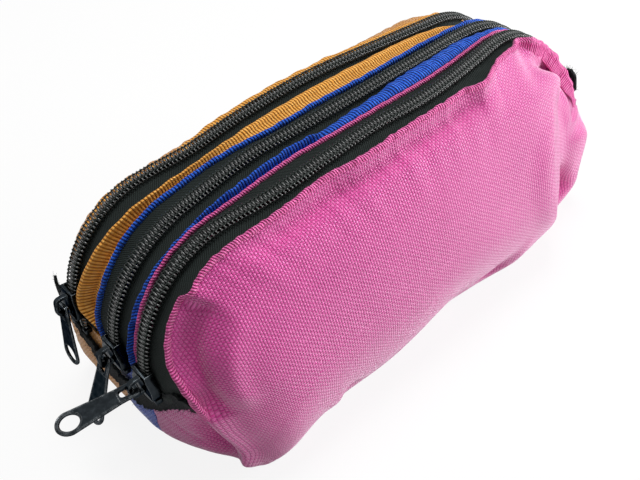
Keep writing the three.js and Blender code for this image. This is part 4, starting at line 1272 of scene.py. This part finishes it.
class CASE_OT_webbing(bpy.types.Operator):
    """Add the webbing bands across both ends, with their frayed edges"""

    bl_idname = "pencil_case.webbing"
    bl_label = "Webbing"

    def execute(self, context):
        fibres = fibre_tree(finishes()["coil thread"])
        self.band("near_end_band", NEAR_BAND, -1, 1.0, fibres)
        self.band("far_end_band", FAR_BAND, 1, 1.6, fibres)
        return {"FINISHED"}

    @staticmethod
    def band(node, rows, end, bow, fibres):
        arch = ARCHES["front"]
        y = np.linspace(rows[0][0], rows[-1][0], 150)
        middle, width = (table(y, [(row[0], row[k]) for row in rows])[:, None] for k in (1, 2))
        t = np.linspace(-1, 1, 17)[None, :]
        seed = 50.0 if end < 0 else 60.0
        ragged = (0.35 * ripple(y, 1.7, seed) + 0.35 * ripple(y, 4.5, seed + 3))[:, None]
        z = middle + t * width / 2 + ragged * t**3
        across = (y - y[0]) / (y[-1] - y[0])
        lift = 0.5 + bow * np.sin(math.pi * across)[:, None] ** 0.7 * (0.75 + 0.25 * t**2)
        lift = lift + 0.3 * ripple(y, 13.0, seed + 7)[:, None] * t
        lift = lift + 0.35 * ripple(y, 3.1, seed + 9)[:, None] * np.abs(t) ** 4
        s = z - CORNER if end < 0 else arch.zip_end + arch.centre_z - z
        ys = np.broadcast_to(y[:, None], z.shape)
        outer = arch.point(s, ys, np.maximum(lift, 0.35) + BAND_LIFT)
        if end < 0:
            outer[..., 0] += table(z, NEAR_DRAW) * ease(-ys, 6, 46)
        surface = sheet(outer, length_coords(outer), BAND_THICKNESS, np.array((end, 0, 0)))
        finish(surface.build(node + "_webbing"), "case", "webbing", node, material=finishes()["webbing"])
        for label, row, lean in (("low", 0, 1.9), ("high", -1, 1.1)):
            line = outer[:, row] - np.array((0.3 * end, 0, 0.0))
            fringe = grow(f"{node}_fibres_{label}", line, fibres, Length=0.0023, Lean=lean, Spacing=0.00028)
            finish(fringe, "case", "webbing")


def rounded_copy(node, width, material, body):
    """A copy of a solid's mesh with its sharp edges rounded."""
    mesh = frame["nodes"][node].data.copy()
    shape = bmesh.new()
    shape.from_mesh(mesh)
    bmesh.ops.remove_doubles(shape, verts=shape.verts, dist=0.00001)
    bmesh.ops.dissolve_limit(shape, angle_limit=math.radians(2), verts=shape.verts, edges=shape.edges)
    shape.to_mesh(mesh)
    shape.free()
    carrier = new_object(node + "_rounded", mesh)
    bevel = carrier.modifiers.new("Edges", "BEVEL")
    bevel.width, bevel.segments = width * MM, 2
    bevel.limit_method, bevel.angle_limit = "ANGLE", math.radians(32)
    bevel.use_clamp_overlap = True
    obj = baked(carrier, node + "_painted")
    smooth(obj.data, 38)
    finish(obj, body, "black_paint", node, material=material)


def rounded_loop(corners, steps=7):
    """A closed outline through corners given as (u, w, radius), each rounded."""
    points = []
    count = len(corners)
    for i, (u, w, radius) in enumerate(corners):
        here = np.array((u, w))
        back = np.array(corners[i - 1][:2]) - here
        ahead = np.array(corners[(i + 1) % count][:2]) - here
        back, ahead = back / np.linalg.norm(back), ahead / np.linalg.norm(ahead)
        half = math.acos(np.clip(back @ ahead, -1, 1)) / 2
        reach = radius / math.tan(half)
        for k in range(steps):
            f = k / (steps - 1)
            a, b = here + back * reach * (1 - f), here + ahead * reach * f
            points.append(a * (1 - f) + b * f)
    return np.array(points)


def circle(u, radius, steps=44):
    angles = np.linspace(0, 2 * math.pi, steps, endpoint=False)
    return np.stack([u + radius * np.cos(angles), radius * np.sin(angles)], 1)


def plate(shape, loops, half):
    """A flat plate with holes, half its thickness to each side, added to a bmesh."""
    flat = [[Vector((u, w, 0)) for u, w in loop] for loop in loops]
    low, high = ([shape.verts.new((p.x, p.y, height)) for loop in flat for p in loop]
                 for height in (-half, half))
    for a, b, c in tessellate_polygon(flat):
        shape.faces.new([low[c], low[b], low[a]])
        shape.faces.new([high[a], high[b], high[c]])
    start = 0
    for loop in flat:
        for i in range(len(loop)):
            j = (i + 1) % len(loop)
            shape.faces.new([low[start + i], low[start + j], high[start + j], high[start + i]])
        start += len(loop)


def bead(shape, loop, radius, flat=1.0, sides=8):
    """A rounded bead along a closed outline, added to a bmesh."""
    ahead = np.roll(loop, -1, 0) - np.roll(loop, 1, 0)
    ahead /= np.linalg.norm(ahead, axis=1, keepdims=True)
    across = np.stack([ahead[:, 1], -ahead[:, 0]], 1)
    rows = []
    for k in range(sides):
        angle = 2 * math.pi * k / sides
        ring = loop + across * radius * math.cos(angle)
        rows.append([shape.verts.new((u, w, flat * radius * math.sin(angle))) for u, w in ring])
    for k in range(sides):
        one, two = rows[k], rows[(k + 1) % sides]
        for i in range(len(loop)):
            j = (i + 1) % len(loop)
            shape.faces.new([one[i], one[j], two[j], two[i]])


def pull_piece(name, settings, material):
    """A pull: a tapering plate with a slot round the crown, a raised rim and a ring end."""
    joint = JOINTS[name + "_pull_swing"]
    pivot, axis = np.array(joint["pos_m"]) / MM, np.array(joint["axis"])
    node = frame["nodes"][name + "_pull"]
    points = np.array([v.co for v in node.data.vertices]) / MM - pivot
    flat = points - np.outer(points @ axis, axis)
    far = np.linalg.norm(flat, axis=1)
    ahead = flat[far > 0.97 * far.max()].mean(0)
    ahead /= np.linalg.norm(ahead)
    length = float(np.max(points @ ahead))
    width = float(np.max(np.abs(points @ axis)))
    rim = settings.pull_rim / MM
    centre = length - width
    neck, body = 3.3 - rim, width - rim
    top, waist = -0.8 + rim, 6.2
    angles = np.linspace(-1.5, 1.5, 23)
    end = np.stack([centre + body * np.cos(angles), body * np.sin(angles)], 1)
    side = rounded_loop([(top, -neck, 0.9), (waist, -neck, 6.0), (centre, -body, 0.3), (centre, body, 0.3),
                         (waist, neck, 6.0), (top, neck, 0.9)])
    side = side[side[:, 0] < centre - 0.4]
    low, high = side[side[:, 1] < 0], side[side[:, 1] > 0]
    outline = np.concatenate([low, end, high])
    slot = rounded_loop([(0.9, -1.9, 0.5), (6.0, -1.6, 1.5), (6.0, 1.6, 1.5), (0.9, 1.9, 0.5)])
    hole = circle(centre, settings.pull_hole / MM)
    shape = bmesh.new()
    plate(shape, [outline, slot[::-1], hole[::-1]], 0.42)
    head = np.concatenate([low[low[:, 0] < 8.6], high[high[:, 0] < 8.6]])
    plate(shape, [head * np.array((1, 0.97)), slot[::-1]], 0.68)
    bead(shape, outline, rim, 1.25)
    bead(shape, slot, 0.3, 2.0)
    bead(shape, hole, 0.38, 1.5)
    bmesh.ops.recalc_face_normals(shape, faces=shape.faces)
    mesh = bpy.data.meshes.new(name + "_pull_painted")
    shape.to_mesh(mesh)
    shape.free()
    up = np.cross(ahead, axis)
    place = Matrix([[*row] for row in np.stack([ahead * MM, axis * MM, up * MM], 1)]).to_4x4()
    place.translation = Vector(pivot * MM)
    mesh.transform(place)
    if place.determinant() < 0:
        mesh.flip_normals()
    smooth(mesh, 42)
    obj = new_object(name + "_pull_painted", mesh)
    finish(obj, name + "_pull", "black_paint", name + "_pull", material=material)


class CASE_OT_hardware(bpy.types.Operator):
    """Add the painted sliders, pulls and stops"""

    bl_idname = "pencil_case.hardware"
    bl_label = "Sliders, pulls and stops"

    def execute(self, context):
        paint = finishes()["black enamel"]
        for name in NAMES:
            rounded_copy(name + "_slider", 0.22, paint, name + "_slider")
            pull_piece(name, context.scene.case_sizes, paint)
            for stop in ("_top_stop_outer", "_top_stop_inner", "_bottom_stop"):
                rounded_copy(name + stop, 0.2, paint, "case")
        return {"FINISHED"}


SETTINGS = {"case_sizes": CaseSettings, "case_zip": ZipSettings, "case_stage": StageSettings}
OPERATORS = (CASE_OT_stage, CASE_OT_panels, CASE_OT_gussets, CASE_OT_walls, CASE_OT_zips, CASE_OT_webbing,
             CASE_OT_hardware)


class CASE_PT_panel(bpy.types.Panel):
    """Buttons that build the case piece by piece"""

    bl_idname = "CASE_PT_panel"
    bl_label = "Pencil case"
    bl_space_type = "VIEW_3D"
    bl_region_type = "UI"
    bl_category = "Pencil case"

    def draw(self, context):
        for name in SETTINGS:
            group = getattr(context.scene, name)
            for key in group.bl_rna.properties.keys():
                if key not in ("rna_type", "name"):
                    self.layout.prop(group, key)
        for cls in OPERATORS:
            self.layout.operator(cls.bl_idname)


CLASSES = (*SETTINGS.values(), *OPERATORS, CASE_PT_panel)


def register():
    for cls in CLASSES:
        bpy.utils.register_class(cls)
    for name, cls in SETTINGS.items():
        setattr(bpy.types.Scene, name, bpy.props.PointerProperty(type=cls))


def unregister():
    for name in SETTINGS:
        delattr(bpy.types.Scene, name)
    for cls in reversed(CLASSES):
        bpy.utils.unregister_class(cls)


def main():
    register()
    bpy.ops.pencil_case.stage()
    bpy.ops.pencil_case.panels()
    bpy.ops.pencil_case.gussets()
    bpy.ops.pencil_case.walls()
    bpy.ops.pencil_case.zips()
    bpy.ops.pencil_case.webbing()
    bpy.ops.pencil_case.hardware()


if __name__ == "__main__":
    main()
